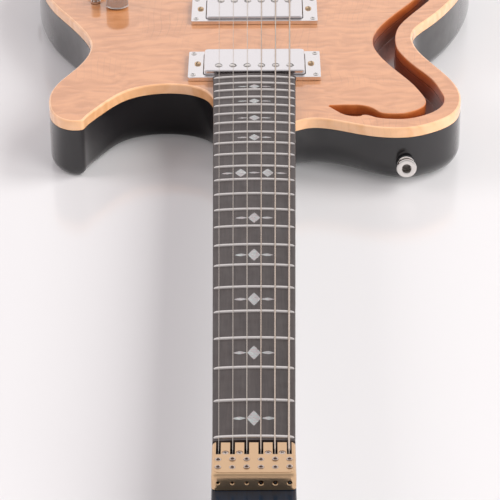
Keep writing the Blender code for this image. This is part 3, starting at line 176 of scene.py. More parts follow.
def group_of(name, inputs, outputs):
    """An empty shader group with named number, colour or vector sockets."""
    tree = bpy.data.node_groups.new(name, "ShaderNodeTree")
    kinds = {"number": "NodeSocketFloat", "colour": "NodeSocketColor", "vector": "NodeSocketVector"}
    for key, (kind, value) in inputs.items():
        socket = tree.interface.new_socket(key, in_out="INPUT", socket_type=kinds[kind])
        if value is not None:
            socket.default_value = value
    for key, kind in outputs.items():
        tree.interface.new_socket(key, in_out="OUTPUT", socket_type=kinds[kind])
    return tree, tree.nodes.new("NodeGroupInput").outputs, tree.nodes.new("NodeGroupOutput").inputs


def placed_group(tree, group, inputs):
    """A shader group put into a material, with its own values."""
    node = tree.nodes.new("ShaderNodeGroup")
    node.node_tree = group
    fill(tree, node.inputs, inputs)
    return node.outputs


# Handling and polishing never leave one even gloss: roughness drifts from patch to patch.
uneven, given, put = group_of(
    "uneven gloss",
    {"Size": ("number", 60.0), "Low": ("number", 0.1), "High": ("number", 0.2)},
    {"Roughness": "number"},
)
cells = vector_sum(uneven, "SCALE", add(uneven, "TexCoord", {}, {}).outputs["Object"], given["Size"])
patches = noise(uneven, cells, 4.0, 0.6)
fill(uneven, put, {"Roughness": ranged(uneven, patches, 0.3, 0.7, given["Low"], given["High"])})


def worn(tree, shader, size, low, high):
    """The shader's roughness drifts between two values, so many patches to a metre."""
    out = placed_group(tree, uneven, {"Size": size, "Low": low, "High": high})
    fill(tree, shader, {"Roughness": out["Roughness"]})


def seen_rays(tree):
    """1 for a ray that the camera sees, straight or by a mirror or through glass, and 0 else."""
    kind = add(tree, "LightPath", {}, {}).outputs
    seen = sum_of(tree, "MAXIMUM", kind["Is Camera Ray"], kind["Is Glossy Ray"])
    return sum_of(tree, "MAXIMUM", seen, kind["Is Transmission Ray"])


# A glossy white table: it mirrors the room and the object faintly. Where it is seen, straight or
# in a mirror, its white is lower and a faint glow is added, as on an amply lit photograph.
TABLE_WHITE = (0.86, 0.845, 0.85)
floor_finish, tree, shader = finish_of(
    "white table", TABLE_WHITE, 0.13, Specular_IOR_Level=0.5, Emission_Color=(1.0, 0.975, 0.98, 1.0),
)
seen = seen_rays(tree)
fill(tree, shader, {
    "Base Color": between(tree, seen, (*TABLE_WHITE, 1), (0.738, 0.730, 0.740, 1)),
    "Emission Strength": sum_of(tree, "MULTIPLY", seen, 0.11),
})
worn(tree, shader, 9.0, 0.10, 0.16)
reach = 30.0
corners = [(-reach, -reach, 0), (reach, -reach, 0), (reach, reach, 0), (-reach, reach, 0)]
floor_mesh = bpy.data.meshes.new("floor")
floor_mesh.from_pydata(corners, [], [(0, 1, 2, 3)])
floor_mesh.materials.append(floor_finish)
floor = bpy.data.objects.new("floor", floor_mesh)
scene.collection.objects.link(floor)

# The pale room: an even light on everything, and where it is seen, brighter towards the tail.
world = bpy.data.worlds.new("studio")
world.use_nodes = True
scene.world = world
tree = world.node_tree
seen = seen_rays(tree)
direction = add(tree, "TexCoord", {}, {}).outputs["Generated"]
towards_tail = add(tree, "SeparateXYZ", {}, {0: direction}).outputs["Y"]
bright = ranged(tree, towards_tail, -0.75, 0.25, 0.45, 0.98, "SMOOTHSTEP")
fill(tree, tree.nodes["Background"].inputs, {
    "Color": between(tree, seen, (1.0, 0.90, 0.92, 1), (1.0, 0.975, 0.985, 1)),
    "Strength": ranged(tree, seen, 0.0, 1.0, 0.33, bright),
})

MIDDLE_OF_OBJECT = (0.0, -0.25, 0.03)
LAMP_SIZE = 2.2
NEUTRAL = (1.0, 0.995, 0.975)
ROSY = (1.0, 0.94, 0.95)


def lamp(name, place, power, colour):
    """A square soft lamp that faces the object. Mirrors show the pale room instead of the lamp."""
    data = bpy.data.lights.new(name, "AREA")
    data.shape = "SQUARE"
    data.size = LAMP_SIZE
    data.energy = power
    data.color = colour
    made = bpy.data.objects.new(name, data)
    made.visible_glossy = False
    z = np.subtract(place, MIDDLE_OF_OBJECT)
    z = z / np.linalg.norm(z)
    x = np.cross((0.0, 1.0, 0.0), z)
    x = x / np.linalg.norm(x)
    matrix = np.eye(4)
    matrix[:3, :3] = np.column_stack([x, np.cross(z, x), z])
    matrix[:3, 3] = place
    made.matrix_world = Matrix(matrix.tolist())
    scene.collection.objects.link(made)


lamp("key lamp", (2.30, -2.44, 1.51), 86.0, NEUTRAL)
lamp("right lamp", (2.66, 0.34, 2.26), 84.0, NEUTRAL)
lamp("left lamp", (-3.12, -0.05, 1.66), 59.0, ROSY)


# Body core
# The wooden core behind the cap, under black gloss lacquer: flat back, rounded back edge, and
# the long sound channel, whose walls are left in stained reddish wood under the same gloss.
BODY_EDGE = [
    (0.0000, -0.2475), (0.0200, -0.2468), (0.0285, -0.2425), (0.0360, -0.2386),
    (0.0500, -0.2398), (0.0700, -0.2486), (0.0880, -0.2539), (0.1040, -0.2532),
    (0.1200, -0.2452), (0.1330, -0.2318), (0.1396, -0.2120), (0.1402, -0.1950),
    (0.1360, -0.1740), (0.1255, -0.1470), (0.1165, -0.1230), (0.1133, -0.1040),
    (0.1163, -0.0830), (0.1245, -0.0680), (0.1380, -0.0445), (0.1510, -0.0150),
    (0.1625, 0.0250), (0.1670, 0.0640), (0.1590, 0.1000), (0.1340, 0.1290),
    (0.0900, 0.1445), (0.0400, 0.1495), (0.0000, 0.1500), (-0.0400, 0.1495),
    (-0.0900, 0.1445), (-0.1340, 0.1290), (-0.1592, 0.1000), (-0.1673, 0.0640),
    (-0.1642, 0.0250), (-0.1576, -0.0050), (-0.1490, -0.0304), (-0.1390, -0.0510),
    (-0.1268, -0.0765), (-0.1190, -0.0980), (-0.1168, -0.1140), (-0.1185, -0.1300),
    (-0.1260, -0.1535), (-0.1344, -0.1730), (-0.1395, -0.1940), (-0.1389, -0.2140),
    (-0.1339, -0.2305), (-0.1245, -0.2394), (-0.1185, -0.2403), (-0.1150, -0.2392),
    (-0.1130, -0.2350), (-0.1080, -0.2235), (-0.0983, -0.2056), (-0.0870, -0.1905),
    (-0.0720, -0.1820), (-0.0570, -0.1801), (-0.0430, -0.1835), (-0.0335, -0.1915),
    (-0.0285, -0.2030), (-0.0265, -0.2200), (-0.0250, -0.2380), (-0.0180, -0.2455),
]
CHANNEL_LINE = [
    (0.0504, -0.2172, 0.0006), (0.0544, -0.2192, 0.0031), (0.0610, -0.2225, 0.0071),
    (0.0676, -0.2252, 0.0092), (0.0743, -0.2260, 0.0075), (0.0790, -0.2290, 0.0048),
    (0.0840, -0.2332, 0.0040), (0.0906, -0.2348, 0.0040), (0.0990, -0.2349, 0.0042),
    (0.1110, -0.2294, 0.0046), (0.1193, -0.2202, 0.0052), (0.1224, -0.2070, 0.0063),
    (0.1208, -0.1965, 0.0068), (0.1158, -0.1777, 0.0076), (0.1066, -0.1567, 0.0075),
    (0.0985, -0.1370, 0.0075), (0.0934, -0.1180, 0.0078), (0.0928, -0.1030, 0.0079),
    (0.0980, -0.0780, 0.0063), (0.1086, -0.0550, 0.0055), (0.1239, -0.0266, 0.0052),
    (0.1345, 0.0000, 0.0054), (0.1420, 0.0300, 0.0058), (0.1440, 0.0600, 0.0062),
    (0.1370, 0.0880, 0.0058), (0.1200, 0.1080, 0.0044), (0.1000, 0.1190, 0.0022),
    (0.0900, 0.1230, 0.0006),
]
BODY_TOP = 0.042
CAP_LOW = 0.035
GAP = 0.0003
CHANNEL_FLOOR = BODY_TOP - 0.018
CHANNEL_FOOT = 0.0004
CHANNEL_RIM = 0.0007
TOOL_TOP = 0.06
TENON_POCKET = (0.0406, 0.0785, 0.0005, (0.0, -0.21895))
PICKUP_POCKET = (0.0724, 0.0404, 0.0025)
PICKUP_POCKET_LOW = 0.020
PICKUP_NECK_Y = -0.1527
PICKUP_BRIDGE_Y = -0.0505
CAVITY_AT = (-0.1171, 0.0151)
CAVITY_TURN = 11.0
COVER_REBATE = 0.011
JACK_AT = (-0.1488, 0.059, 0.019)
AXES = {
    "Z": np.array([(1, 0, 0), (0, 1, 0), (0, 0, 1)]),
    "-Z": np.array([(1, 0, 0), (0, -1, 0), (0, 0, -1)]),
    "Y": np.array([(-1, 0, 0), (0, 0, 1), (0, 1, 0)]),
    "-Y": np.array([(1, 0, 0), (0, 0, -1), (0, 1, 0)]),
    "X": np.array([(0, 0, 1), (1, 0, 0), (0, 1, 0)]),
    "-X": np.array([(0, 0, -1), (-1, 0, 0), (0, 1, 0)]),
}


def smooth_line(points, steps, closed=False):
    """Points along the cubic curve through the given ones, steps of them to a span.

    The parameter is the chord length in plan. The second derivative runs evenly from one given
    point to the next, and its values solve the linear system that keeps the slope unbroken.
    """
    p = np.array(points, float)
    if closed:
        p = np.vstack([p, p[:1]])
    last = len(p) - 1
    h = np.linalg.norm(np.diff(p[:, :2], axis=0), axis=1)
    slope = np.diff(p, axis=0) / h[:, None]
    a = np.zeros((last + 1, last + 1))
    b = np.zeros_like(p)
    i = np.arange(1, last)
    a[i, i - 1] = h[:-1]
    a[i, i] = 2 * (h[:-1] + h[1:])
    a[i, i + 1] = h[1:]
    b[i] = 6 * np.diff(slope, axis=0)
    a[0, 0] = a[last, last] = 1
    if closed:
        a[0, last] = -1
        a[last, [0, 1, last - 1, last]] = 2 * h[0], h[0], h[-1], 2 * h[-1]
        b[last] = 6 * (slope[0] - slope[-1])
    m = np.linalg.solve(a, b)
    start, end = m[:-1, None], m[1:, None]
    span = h[:, None, None]
    s = np.linspace(0, 1, steps, endpoint=False)[None, :, None] * span
    rise = slope[:, None] - span * (2 * start + end) / 6
    curve = p[:-1, None] + s * rise + s**2 * start / 2 + s**3 * (end - start) / (6 * span)
    curve = curve.reshape(-1, p.shape[1])
    return curve if closed else np.vstack([curve, p[-1:]])


def inward(outline, blur):
    """Inward directions of an anticlockwise outline, each of length one, averaged with a bell
    curve of that width along the outline."""
    after = np.roll(outline, -1, axis=0)
    tangent = after - np.roll(outline, 1, axis=0)
    length = np.linalg.norm(tangent, axis=1)[:, None]
    normal = np.column_stack([-tangent[:, 1], tangent[:, 0]]) / length
    step = np.linalg.norm(after - outline, axis=1)
    place = np.concatenate([[0], np.cumsum(step)[:-1]])
    apart = np.abs(place[:, None] - place[None, :])
    apart = np.minimum(apart, step.sum() - apart)
    share = np.exp(-((apart / blur) ** 2) / 2) * length[:, 0]
    mean = (share @ normal) / share.sum(axis=1)[:, None]
    return mean / np.linalg.norm(mean, axis=1)[:, None]


def back_radius(outline):
    """Radius of the back's edge: 9 mm on the bass side, 6.5 mm on the treble side with a smooth
    step between, and a bell-shaped gain at the heel and in the cutaway."""
    side = np.clip(0.5 - outline[:, 0] / 0.060, 0, 1)
    plain = 0.009 - 0.0025 * side**2 * (3 - 2 * side)
    heel = np.sum((outline - (0.045, -0.240)) ** 2, axis=1) / 0.060**2
    cutaway = np.sum((outline - (-0.078, -0.190)) ** 2, axis=1) / 0.040**2
    return plain + 0.017 * np.exp(-heel) + 0.006 * np.exp(-cutaway)


def quarter(steps):
    """Points of a quarter circle of radius one at an edge: how far each lies inside the side
    face, 1 - cos(angle), and how far below the top, 1 - sin(angle)."""
    angle = np.linspace(0, math.pi / 2, steps + 1)
    return np.column_stack([1 - np.cos(angle), 1 - np.sin(angle)])


def surface(name, grid, *finishes, sharp=40.0):
    """A mesh from rows of points that each go round a ring: quads between the rows, and one face
    over each end. Edges that turn by more than an angle are sharp."""
    rows, count = grid.shape[:2]
    i = np.arange(count)
    j = (i + 1) % count
    low = np.arange(rows - 1)[:, None] * count
    faces = np.stack([low + i, low + j, low + j + count, low + i + count], axis=-1)
    faces = faces.reshape(-1, 4).tolist()
    faces += [i[::-1].tolist(), (i + (rows - 1) * count).tolist()]
    mesh = bpy.data.meshes.new(name)
    mesh.from_pydata(grid.reshape(-1, 3).tolist(), [], faces)
    for finish in finishes:
        mesh.materials.append(finish)
    mesh.shade_smooth()
    mesh.set_sharp_from_angle(angle=math.radians(sharp))
    made = bpy.data.objects.new(name, mesh)
    scene.collection.objects.link(made)
    return made


def raised(outline, heights):
    """A plane outline repeated at the given heights."""
    outline = np.asarray(outline, float)
    heights = np.atleast_1d(np.asarray(heights, float))
    grid = np.empty((len(heights), len(outline), 3))
    grid[:, :, :2] = outline
    grid[:, :, 2] = heights[:, None]
    return grid


def plate_rows(outline_of, low, high, corner, steps=4):
    """Rings of a plate: its outline going up, drawn in by a quarter circle at the top."""
    rings = [raised(outline_of(0.0), low)]
    rings += [raised(outline_of(corner * inside), high - corner * below) for inside, below in quarter(steps)]
    return np.vstack(rings)


def turned(name, profile, at, finish, towards="Z", sides=32, pattern=None, sharp=40.0):
    """A profile of (radius, height) carried round an axis: the angle runs once round, and a
    pattern multiplies each ring's radius by a number that depends on angle and height."""
    radius, height = np.array(profile, float).T[:, :, None]
    angle = np.arange(sides) * 2 * math.pi / sides
    wide = radius * (np.ones(sides) if pattern is None else pattern(angle, height))
    grid = np.stack([wide * np.cos(angle), wide * np.sin(angle), height + 0 * wide], axis=-1)
    return surface(name, grid @ AXES[towards].T + np.array(at), finish, sharp=sharp)


def rounded_box(width, length, radius, centre=(0.0, 0.0), turn=0.0, steps=6):
    """Anticlockwise rectangle with a quarter circle at each corner, turned by degrees."""
    angle = np.linspace(0, math.pi / 2, steps + 1)[None, :] + np.arange(4)[:, None] * math.pi / 2
    sx = np.array([1, -1, -1, 1])[:, None]
    sy = np.array([1, 1, -1, -1])[:, None]
    x = (sx * (width / 2 - radius) + radius * np.cos(angle)).ravel()
    y = (sy * (length / 2 - radius) + radius * np.sin(angle)).ravel()
    c, s = math.cos(math.radians(turn)), math.sin(math.radians(turn))
    return np.column_stack([centre[0] + c * x - s * y, centre[1] + s * x + c * y])


def cut_away(piece, *tools):
    """Takes the tools' solids out of the piece and keeps the result as its own mesh."""
    for tool in tools:
        change = piece.modifiers.new("cut", "BOOLEAN")
        change.operation = "DIFFERENCE"
        change.solver = "EXACT"
        change.material_mode = "TRANSFER"
        change.object = tool
    bpy.context.view_layer.update()
    graph = bpy.context.evaluated_depsgraph_get()
    cut = bpy.data.meshes.new_from_object(piece.evaluated_get(graph))
    piece.modifiers.clear()
    piece.data = cut
    cut.shade_smooth()
    cut.set_sharp_from_angle(angle=math.radians(40.0))
    for tool in tools:
        bpy.data.objects.remove(tool, do_unlink=True)


def even_shading(piece):
    """Large flat faces keep their own normal beside small curved ones."""
    change = piece.modifiers.new("even shading", "WEIGHTED_NORMAL")
    change.keep_sharp = True
    return piece


def fitted(piece, body, slot, *nodes):
    """The piece rides on its body and stands for its nodes, which are hidden. The slot is not used."""
    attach(piece, body)
    if nodes:
        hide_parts(*nodes)


# Black lacquer: a thick clear coat over black, with faint wiping swirls in its gloss. The coat
# is turned down in the treble cutaway as painted shade, so that its walls there reflect little.
black_lacquer, tree, shader = finish_of(
    "black lacquer", (0.012, 0.0108, 0.0120), 0.35, Coat_Weight=1.0, Coat_Roughness=0.02, Coat_IOR=1.58,
    Specular_IOR_Level=0.15,
)
worn(tree, shader, 35.0, 0.28, 0.45)
bumped(tree, shader, noise(tree, stretched(tree, (260.0, 260.0, 260.0)), 5.0), 0.02, 0.0002)
# Painted shade: near the treble cutaway the coat weight falls, so the walls there look darker.
from_shaded_cutaway = vector_sum(tree, "SUBTRACT", stretched(tree, (1.0, 1.0, 0.3)), (-0.070, -0.188, 0.0))
distance = add(tree, "VectorMath", {"operation": "LENGTH"}, {0: from_shaded_cutaway}).outputs["Value"]
fill(tree, shader, {"Coat Weight": ranged(tree, distance, 0.028, 0.062, 0.12, 1.0, "SMOOTHSTEP")})

# Straight wood grain: long thin streaks, with darker pores among them.
grain, given, put = group_of(
    "wood grain",
    {"Vector": ("vector", None), "Light": ("colour", (0.5, 0.3, 0.2, 1)),
     "Dark": ("colour", (0.3, 0.2, 0.1, 1)), "Pores": ("number", 0.3)},
    {"Color": "colour", "Height": "number"},
)
streaks = ramp(grain, noise(grain, given["Vector"], 6.0, 0.65), (0.30, (0, 0, 0)), (0.70, (1, 1, 1)))
wood = between(grain, streaks, given["Dark"], given["Light"])
pores = noise(grain, vector_sum(grain, "MULTIPLY", given["Vector"], (5.0, 2.2, 5.0)), 2.0, 0.7)
pores = ranged(grain, pores, 0.60, 0.72, 1.0, 0.0)
shade = sum_of(grain, "MULTIPLY", given["Pores"], sum_of(grain, "SUBTRACT", 1.0, pores))
shade = sum_of(grain, "SUBTRACT", 1.0, shade)
fill(grain, put, {"Color": vector_sum(grain, "SCALE", wood, shade), "Height": pores})


def grained(tree, shader, cells, light, dark, pores):
    """Wood grain in the shader's colour, so many cells to a metre along each axis. What comes
    back is the height of its pores."""
    inputs = {"Vector": stretched(tree, cells), "Light": light, "Dark": dark, "Pores": pores}
    out = placed_group(tree, grain, inputs)
    fill(tree, shader, {"Base Color": out["Color"]})
    return out["Height"]


# Stained channel wood: amber at the rim, where the cap was cut, and deep red-brown below it.
channel_wood, tree, shader = finish_of(
    "stained channel wood", (0.2, 0.06, 0.03), 0.35, Coat_Weight=1.0, Coat_Roughness=0.16, Coat_IOR=1.6,
    Specular_IOR_Level=0.3,
)
height = add(tree, "SeparateXYZ", {}, {0: stretched(tree, (1.0, 1.0, 1.0))}).outputs["Z"]
drift = sum_of(tree, "MULTIPLY", noise(tree, stretched(tree, (40.0, 25.0, 90.0))), 0.0022)
height = ranged(tree, sum_of(tree, "ADD", height, drift), 0.026, 0.0435)
light = ramp(tree, height, (0.0, (0.34, 0.105, 0.055)), (0.45, (0.34, 0.085, 0.032)),
             (0.80, (0.52, 0.125, 0.030)), (1.0, (0.72, 0.27, 0.085)))
dark = ramp(tree, height, (0.0, (0.15, 0.046, 0.028)), (0.45, (0.20, 0.046, 0.018)),
            (0.80, (0.36, 0.075, 0.017)), (1.0, (0.55, 0.18, 0.050)))
grained(tree, shader, (150.0, 30.0, 420.0), light, dark, 0.35)


def channel_edge(drawn_in):
    """Both edges of the channel's centre line, the half width lessened by an amount."""
    path = smooth_line(CHANNEL_LINE, 6)
    along = np.gradient(path[:, :2], axis=0)
    along /= np.linalg.norm(along, axis=1)[:, None]
    half = np.maximum(path[:, 2:] - drawn_in, 0.00015)
    side = np.column_stack([-along[:, 1], along[:, 0]]) * half
    return np.vstack([path[:, :2] - side, (path[:, :2] + side)[::-1]])


def channel_tool(rim):
    """The channel's solid: a quarter circle at the floor, straight walls and a rim that flares
    by a quarter circle of its own radius, or not at all."""
    foot = CHANNEL_FOOT
    levels = [(foot * below, CHANNEL_FLOOR + foot * inside) for inside, below in quarter(9)]
    if rim:
        levels += [(-rim * inside, BODY_TOP - rim * below) for inside, below in quarter(9)]
    levels.append((-rim, BODY_TOP + 0.010))
    rings = np.vstack([raised(channel_edge(inset), z) for inset, z in levels])
    return surface("channel tool", rings, channel_wood)


def pocket(outline, low, high, finish):
    """A straight-walled tool under an outline."""
    return surface("pocket tool", raised(outline, (low, high)), finish)


def top_pockets(finish):
    """Tools for the neck's pocket and the two pickups', which go through the cap into the core."""
    made = [pocket(rounded_box(*TENON_POCKET), BODY_TOP - 0.0183, TOOL_TOP, finish)]
    for y in (PICKUP_NECK_Y, PICKUP_BRIDGE_Y):
        outline = rounded_box(*PICKUP_POCKET, (0.0, y))
        made.append(pocket(outline, PICKUP_POCKET_LOW, TOOL_TOP, finish))
    return made


def cavity_outline(grown):
    """The control cavity's outline, made wider and longer by an amount."""
    return rounded_box(0.0482 + grown, 0.1262 + grown, 0.012 + grown / 2, CAVITY_AT, CAVITY_TURN)


edge = smooth_line(BODY_EDGE, 8, closed=True)
radius = back_radius(edge)
inside, below = quarter(9).T[:, :, None]
core_grid = np.empty((11, len(edge), 3))
core_grid[:10, :, :2] = edge + inward(edge, 0.006) * (radius * below)[:, :, None]
core_grid[:10, :, 2] = radius * inside
core_grid[10] = raised(edge, CAP_LOW - GAP)[0]
core = surface("core", core_grid, black_lacquer)
cut_away(
    core,
    channel_tool(0.0),
    *top_pockets(black_lacquer),
    pocket(cavity_outline(0.0), 0.002, TOOL_TOP, black_lacquer),
    pocket(cavity_outline(COVER_REBATE), -0.01, 0.0023, black_lacquer),
)
jack_hole = [(0.005, JACK_AT[0] + 0.135), (0.005, JACK_AT[0] + 0.180)]
cut_away(core, turned("jack tool", jack_hole, JACK_AT, black_lacquer, "-X"))
fitted(even_shading(core), "guitar", "black_gloss", "body_core")


# Body cap
# A 7 mm plate of quilted maple glued over the core, its figure under clear gloss. Its outer
# edge stays unstained and pale; its cut through the channel carries the channel's stain.
quilt, given, put = group_of(
    "quilted figure",
    {"Light": ("colour", (0.7, 0.4, 0.25, 1)), "Dark": ("colour", (0.55, 0.3, 0.18, 1)),
     "Lines": ("number", 0.06)},
    {"Color": "colour", "Height": "number"},
)
own = add(quilt, "TexCoord", {}, {}).outputs["Object"]
cells = vector_sum(quilt, "MULTIPLY", own, (64.0, 160.0, 64.0))
wander = add(quilt, "TexNoise", {}, {"Vector": own, "Scale": 28.0, "Detail": 2.0}).outputs["Color"]
cells = vector_sum(quilt, "ADD", cells, vector_sum(quilt, "SCALE", wander, 4.0))
billow = sum_of(quilt, "MULTIPLY", noise(quilt, cells, 1.5, 0.4), 0.75)
broad = noise(quilt, vector_sum(quilt, "MULTIPLY", own, (16.0, 42.0, 16.0)), 3.0)
figure = ranged(quilt, sum_of(quilt, "MULTIPLY_ADD", broad, 0.45, billow), 0.47, 0.73)
tint = between(quilt, figure, given["Dark"], given["Light"])
sideways = add(quilt, "SeparateXYZ", {}, {0: own}).outputs["X"]
sideways = sum_of(quilt, "MULTIPLY", sideways, 210.0)
field = noise(quilt, vector_sum(quilt, "MULTIPLY", own, (11.0, 5.0, 11.0)))
rings = sum_of(quilt, "PINGPONG", sum_of(quilt, "MULTIPLY_ADD", field, 13.0, sideways), 0.5)
rings = ranged(quilt, rings, 0.0, 0.09, 1.0, 0.0, "SMOOTHSTEP")
faint = ranged(quilt, noise(quilt, own, scale=22.0), 0.46, 0.66)
lines = sum_of(quilt, "MULTIPLY", sum_of(quilt, "MULTIPLY", rings, faint), given["Lines"])
fibre = noise(quilt, vector_sum(quilt, "MULTIPLY", own, (1700.0, 170.0, 400.0)), 1.0)
shade = sum_of(quilt, "SUBTRACT", sum_of(quilt, "MULTIPLY_ADD", fibre, 0.07, 0.965), lines)
fill(quilt, put, {"Color": vector_sum(quilt, "SCALE", tint, shade), "Height": figure})


def maple(name, light, dark, lines, bump):
    """Maple under a clear coat: the figure in its colour, and faintly in the wood's own normal."""
    made, tree, shader = finish_of(
        name, light, 0.42, Coat_Weight=1.0, Coat_Roughness=0.03, Coat_IOR=1.92, Specular_IOR_Level=0.2,
    )
    out = placed_group(tree, quilt, {"Light": (*light, 1), "Dark": (*dark, 1), "Lines": lines})
    fill(tree, shader, {"Base Color": out["Color"]})
    bumped(tree, shader, out["Height"], bump, 0.0006)
    return made


maple_face = maple("quilted maple", (0.735, 0.320, 0.125), (0.59, 0.238, 0.081), 0.16, 0.2)
maple_edge = maple("pale maple edge", (0.98, 0.57, 0.31), (0.87, 0.45, 0.21), 0.05, 0.1)

CAP_ROUND = 0.0014
VOLUME_AT = (-0.1016, -0.0367)
TONE_AT = (-0.1195, 0.0160)
SWITCH_AT = (-0.1180, -0.0287)


def disc(radius, at):
    """A circle as a plane outline of 32 points."""
    angle = np.arange(32) * math.pi / 16
    return np.column_stack([at[0] + radius * np.cos(angle), at[1] + radius * np.sin(angle)])


drawn = inward(edge, 0.0022)
cap_rows = plate_rows(lambda inset: edge + drawn * inset, CAP_LOW, BODY_TOP, CAP_ROUND, 5)
cap = surface("cap", cap_rows, maple_edge, maple_face)
face_finish = np.zeros(len(cap.data.polygons), int)
face_finish[-1] = 1
cap.data.polygons.foreach_set("material_index", face_finish)
cut_away(
    cap,
    channel_tool(CHANNEL_RIM),
    *top_pockets(channel_wood),
    *[pocket(disc(0.0038, at), 0.02, TOOL_TOP, channel_wood) for at in (VOLUME_AT, TONE_AT, SWITCH_AT)],
)
fitted(even_shading(cap), "guitar", "figured_maple", "body_cap")


# Rear cover
# A satin black plate over the control cavity, sunk flush with the back and held by six small
# countersunk screws.
satin_black, tree, shader = finish_of("satin black plastic", (0.014, 0.014, 0.015), 0.45)
worn(tree, shader, 90.0, 0.38, 0.55)
pebble = add(tree, "TexVoronoi", {}, {"Vector": stretched(tree, (1400.0, 1400.0, 1400.0)), "Scale": 1.0})
bumped(tree, shader, pebble.outputs["Distance"], 0.15, 0.0001)

# Bright metal: fine polishing lines along one direction, and uneven gloss.
polished, given, put = group_of(
    "polishing lines",
    {"Vector": ("vector", None), "Low": ("number", 0.1), "High": ("number", 0.25), "Depth": ("number", 0.05)},
    {"Roughness": "number", "Normal": "vector"},
)
lines = noise(polished, given["Vector"], 4.0, 0.7)
fill(polished, put, {"Roughness": ranged(polished, lines, 0.3, 0.7, given["Low"], given["High"])})
bumped(polished, put, lines, given["Depth"], 0.0001)


def metal(name, base, low, high, lines, depth):
    """A bare metal with polishing lines: cells per metre along each axis, gloss range and depth."""
    made, tree, shader = finish_of(name, base, low, 1.0)
    inputs = {"Vector": stretched(tree, lines), "Low": low, "High": high, "Depth": depth}
    out = placed_group(tree, polished, inputs)
    fill(tree, shader, {"Roughness": out["Roughness"], "Normal": out["Normal"]})
    return made


nickel = metal("polished nickel", (0.80, 0.765, 0.735), 0.10, 0.22, (900.0, 900.0, 900.0), 0.04)
dark_screw = metal("blackened steel", (0.16, 0.145, 0.135), 0.22, 0.40, (700.0, 700.0, 700.0), 0.10)


def bar_tool(x0, x1, y0, y1, z0, z1):
    """A box-shaped tool between limits."""
    return surface("bar tool", raised([(x0, y0), (x1, y0), (x1, y1), (x0, y1)], (z0, z1)), dark_screw)


def joined(name, *pieces):
    """Several pieces made into one object."""
    chosen = {"object": pieces[0], "active_object": pieces[0], "selected_editable_objects": list(pieces)}
    with bpy.context.temp_override(**chosen):
        bpy.ops.object.join()
    pieces[0].name = name
    pieces[0].data.name = name
    return pieces[0]


def put_at(piece, spin, at, towards="Z"):
    """A piece turned round its own Z axis by degrees, pointed along an axis and put in place."""
    mesh = piece.data
    points = np.empty(len(mesh.vertices) * 3)
    mesh.vertices.foreach_get("co", points)
    c, s = math.cos(math.radians(spin)), math.sin(math.radians(spin))
    spun = points.reshape(-1, 3) @ np.array([(c, -s, 0), (s, c, 0), (0, 0, 1)]).T
    mesh.vertices.foreach_set("co", (spun @ AXES[towards].T + np.array(at)).ravel())
    mesh.update()
    return piece


def screw_head(at, radius, height, finish, spin, towards="Z", cross=True):
    """A domed screw head with a driver recess, a cross or one slot: a short wall, and over it a
    quarter ellipse up to the middle."""
    wall = 0.35
    profile = [(radius * 0.98, 0.0), (radius, height * wall)]
    for angle in np.linspace(0, math.pi / 2, 6)[1:-1]:
        profile.append((radius * math.cos(angle), height * (wall + (1 - wall) * math.sin(angle))))
    profile.append((radius * 0.05, height))
    head = turned("screw", profile, (0, 0, 0), finish, sides=24)
    half = radius * 0.13
    long = radius * (0.62 if cross else 1.3)
    low, high = height * 0.45, height * 2
    cut_away(head, bar_tool(-long, long, -half, half, low, high))
    if cross:
        cut_away(head, bar_tool(-half, half, -long, long, low, high))
    return put_at(head, spin, at, towards)


# The rows of a plate, upside down, because the cover's rounded edge faces the floor.
cover_rows = plate_rows(
    lambda inset: cavity_outline(COVER_REBATE - 2 * (GAP + inset)), -0.0020, -GAP, 0.0005, 3,
)
rear_cover = surface("rear_plate", cover_rows[::-1] * (1, 1, -1), satin_black)
fitted(even_shading(rear_cover), "guitar", "cover_plastic", "rear_cover")
c, s = math.cos(math.radians(CAVITY_TURN)), math.sin(math.radians(CAVITY_TURN))
screws = []
for along, out in ((-0.055, 0.0255), (0.0, 0.0268), (0.055, 0.0255)):
    for across in (-out, out):
        at = (CAVITY_AT[0] + c * across - s * along, CAVITY_AT[1] + s * across + c * along, 0.0007)
        screws.append(screw_head(at, 0.0022, 0.0006, dark_screw, 1000 * across, "-Z"))
fitted(joined("rear_cover_screws", *screws), "guitar", "cover_plastic")


# Neck
# A maple neck under the same black gloss, let into the body by a tenon. Its head end carries a
# dark veneered plate, and the truss rod's nut shows in a slot between head block and board.
SCALE_LENGTH = 0.6477
ZERO_FRET_Y = -SCALE_LENGTH
BOARD_START = ZERO_FRET_Y - 0.0032
BOARD_TOP = 0.048
LAST_FRET = 22
HEAD_END = ZERO_FRET_Y - 0.066
HEAD_TOP = 0.0389
HEAD_HALF = 0.0215
TENON_HALF = 0.0200
JOINT_Y = -0.2483
TRUSS_SLOT_HALF = 0.0031


def fret_line(number):
    """Where a fret lies, by the rule of equal temperament: the rest of the string halves every 12."""
    return ZERO_FRET_Y + SCALE_LENGTH * (1 - 2.0 ** (-number / 12))


def board_half(y):
    """Half width of board and neck: 21.5 mm at the zero fret, growing evenly to 28.3 mm."""
    return (0.0430 + 0.0136 * (y - ZERO_FRET_Y) / (fret_line(LAST_FRET) - ZERO_FRET_Y)) / 2


def neck_rows(y, half, depth, power, top, around=48):
    """Rings of a half superellipse below a flat top: x = half·|cos|^(2/power) with the cosine's
    sign, z = top of body - depth·sin^(2/power), from where that reaches the given top."""
    first = np.arcsin(np.clip((BODY_TOP - top) / depth, 0, 1) ** (power / 2))[:, None]
    t = np.linspace(0, 1, around)[None, :]
    angle = first + (math.pi - 2 * first) * t
    power = power[:, None]
    x = -half[:, None] * np.sign(np.cos(angle)) * np.abs(np.cos(angle)) ** (2 / power)
    z = BODY_TOP - depth[:, None] * np.abs(np.sin(angle)) ** (2 / power)
    z[:, 0] = top
    z[:, -1] = top
    grid = np.stack([x, np.broadcast_to(y[:, None], x.shape), z], axis=-1)
    return grid[:, ::-1]


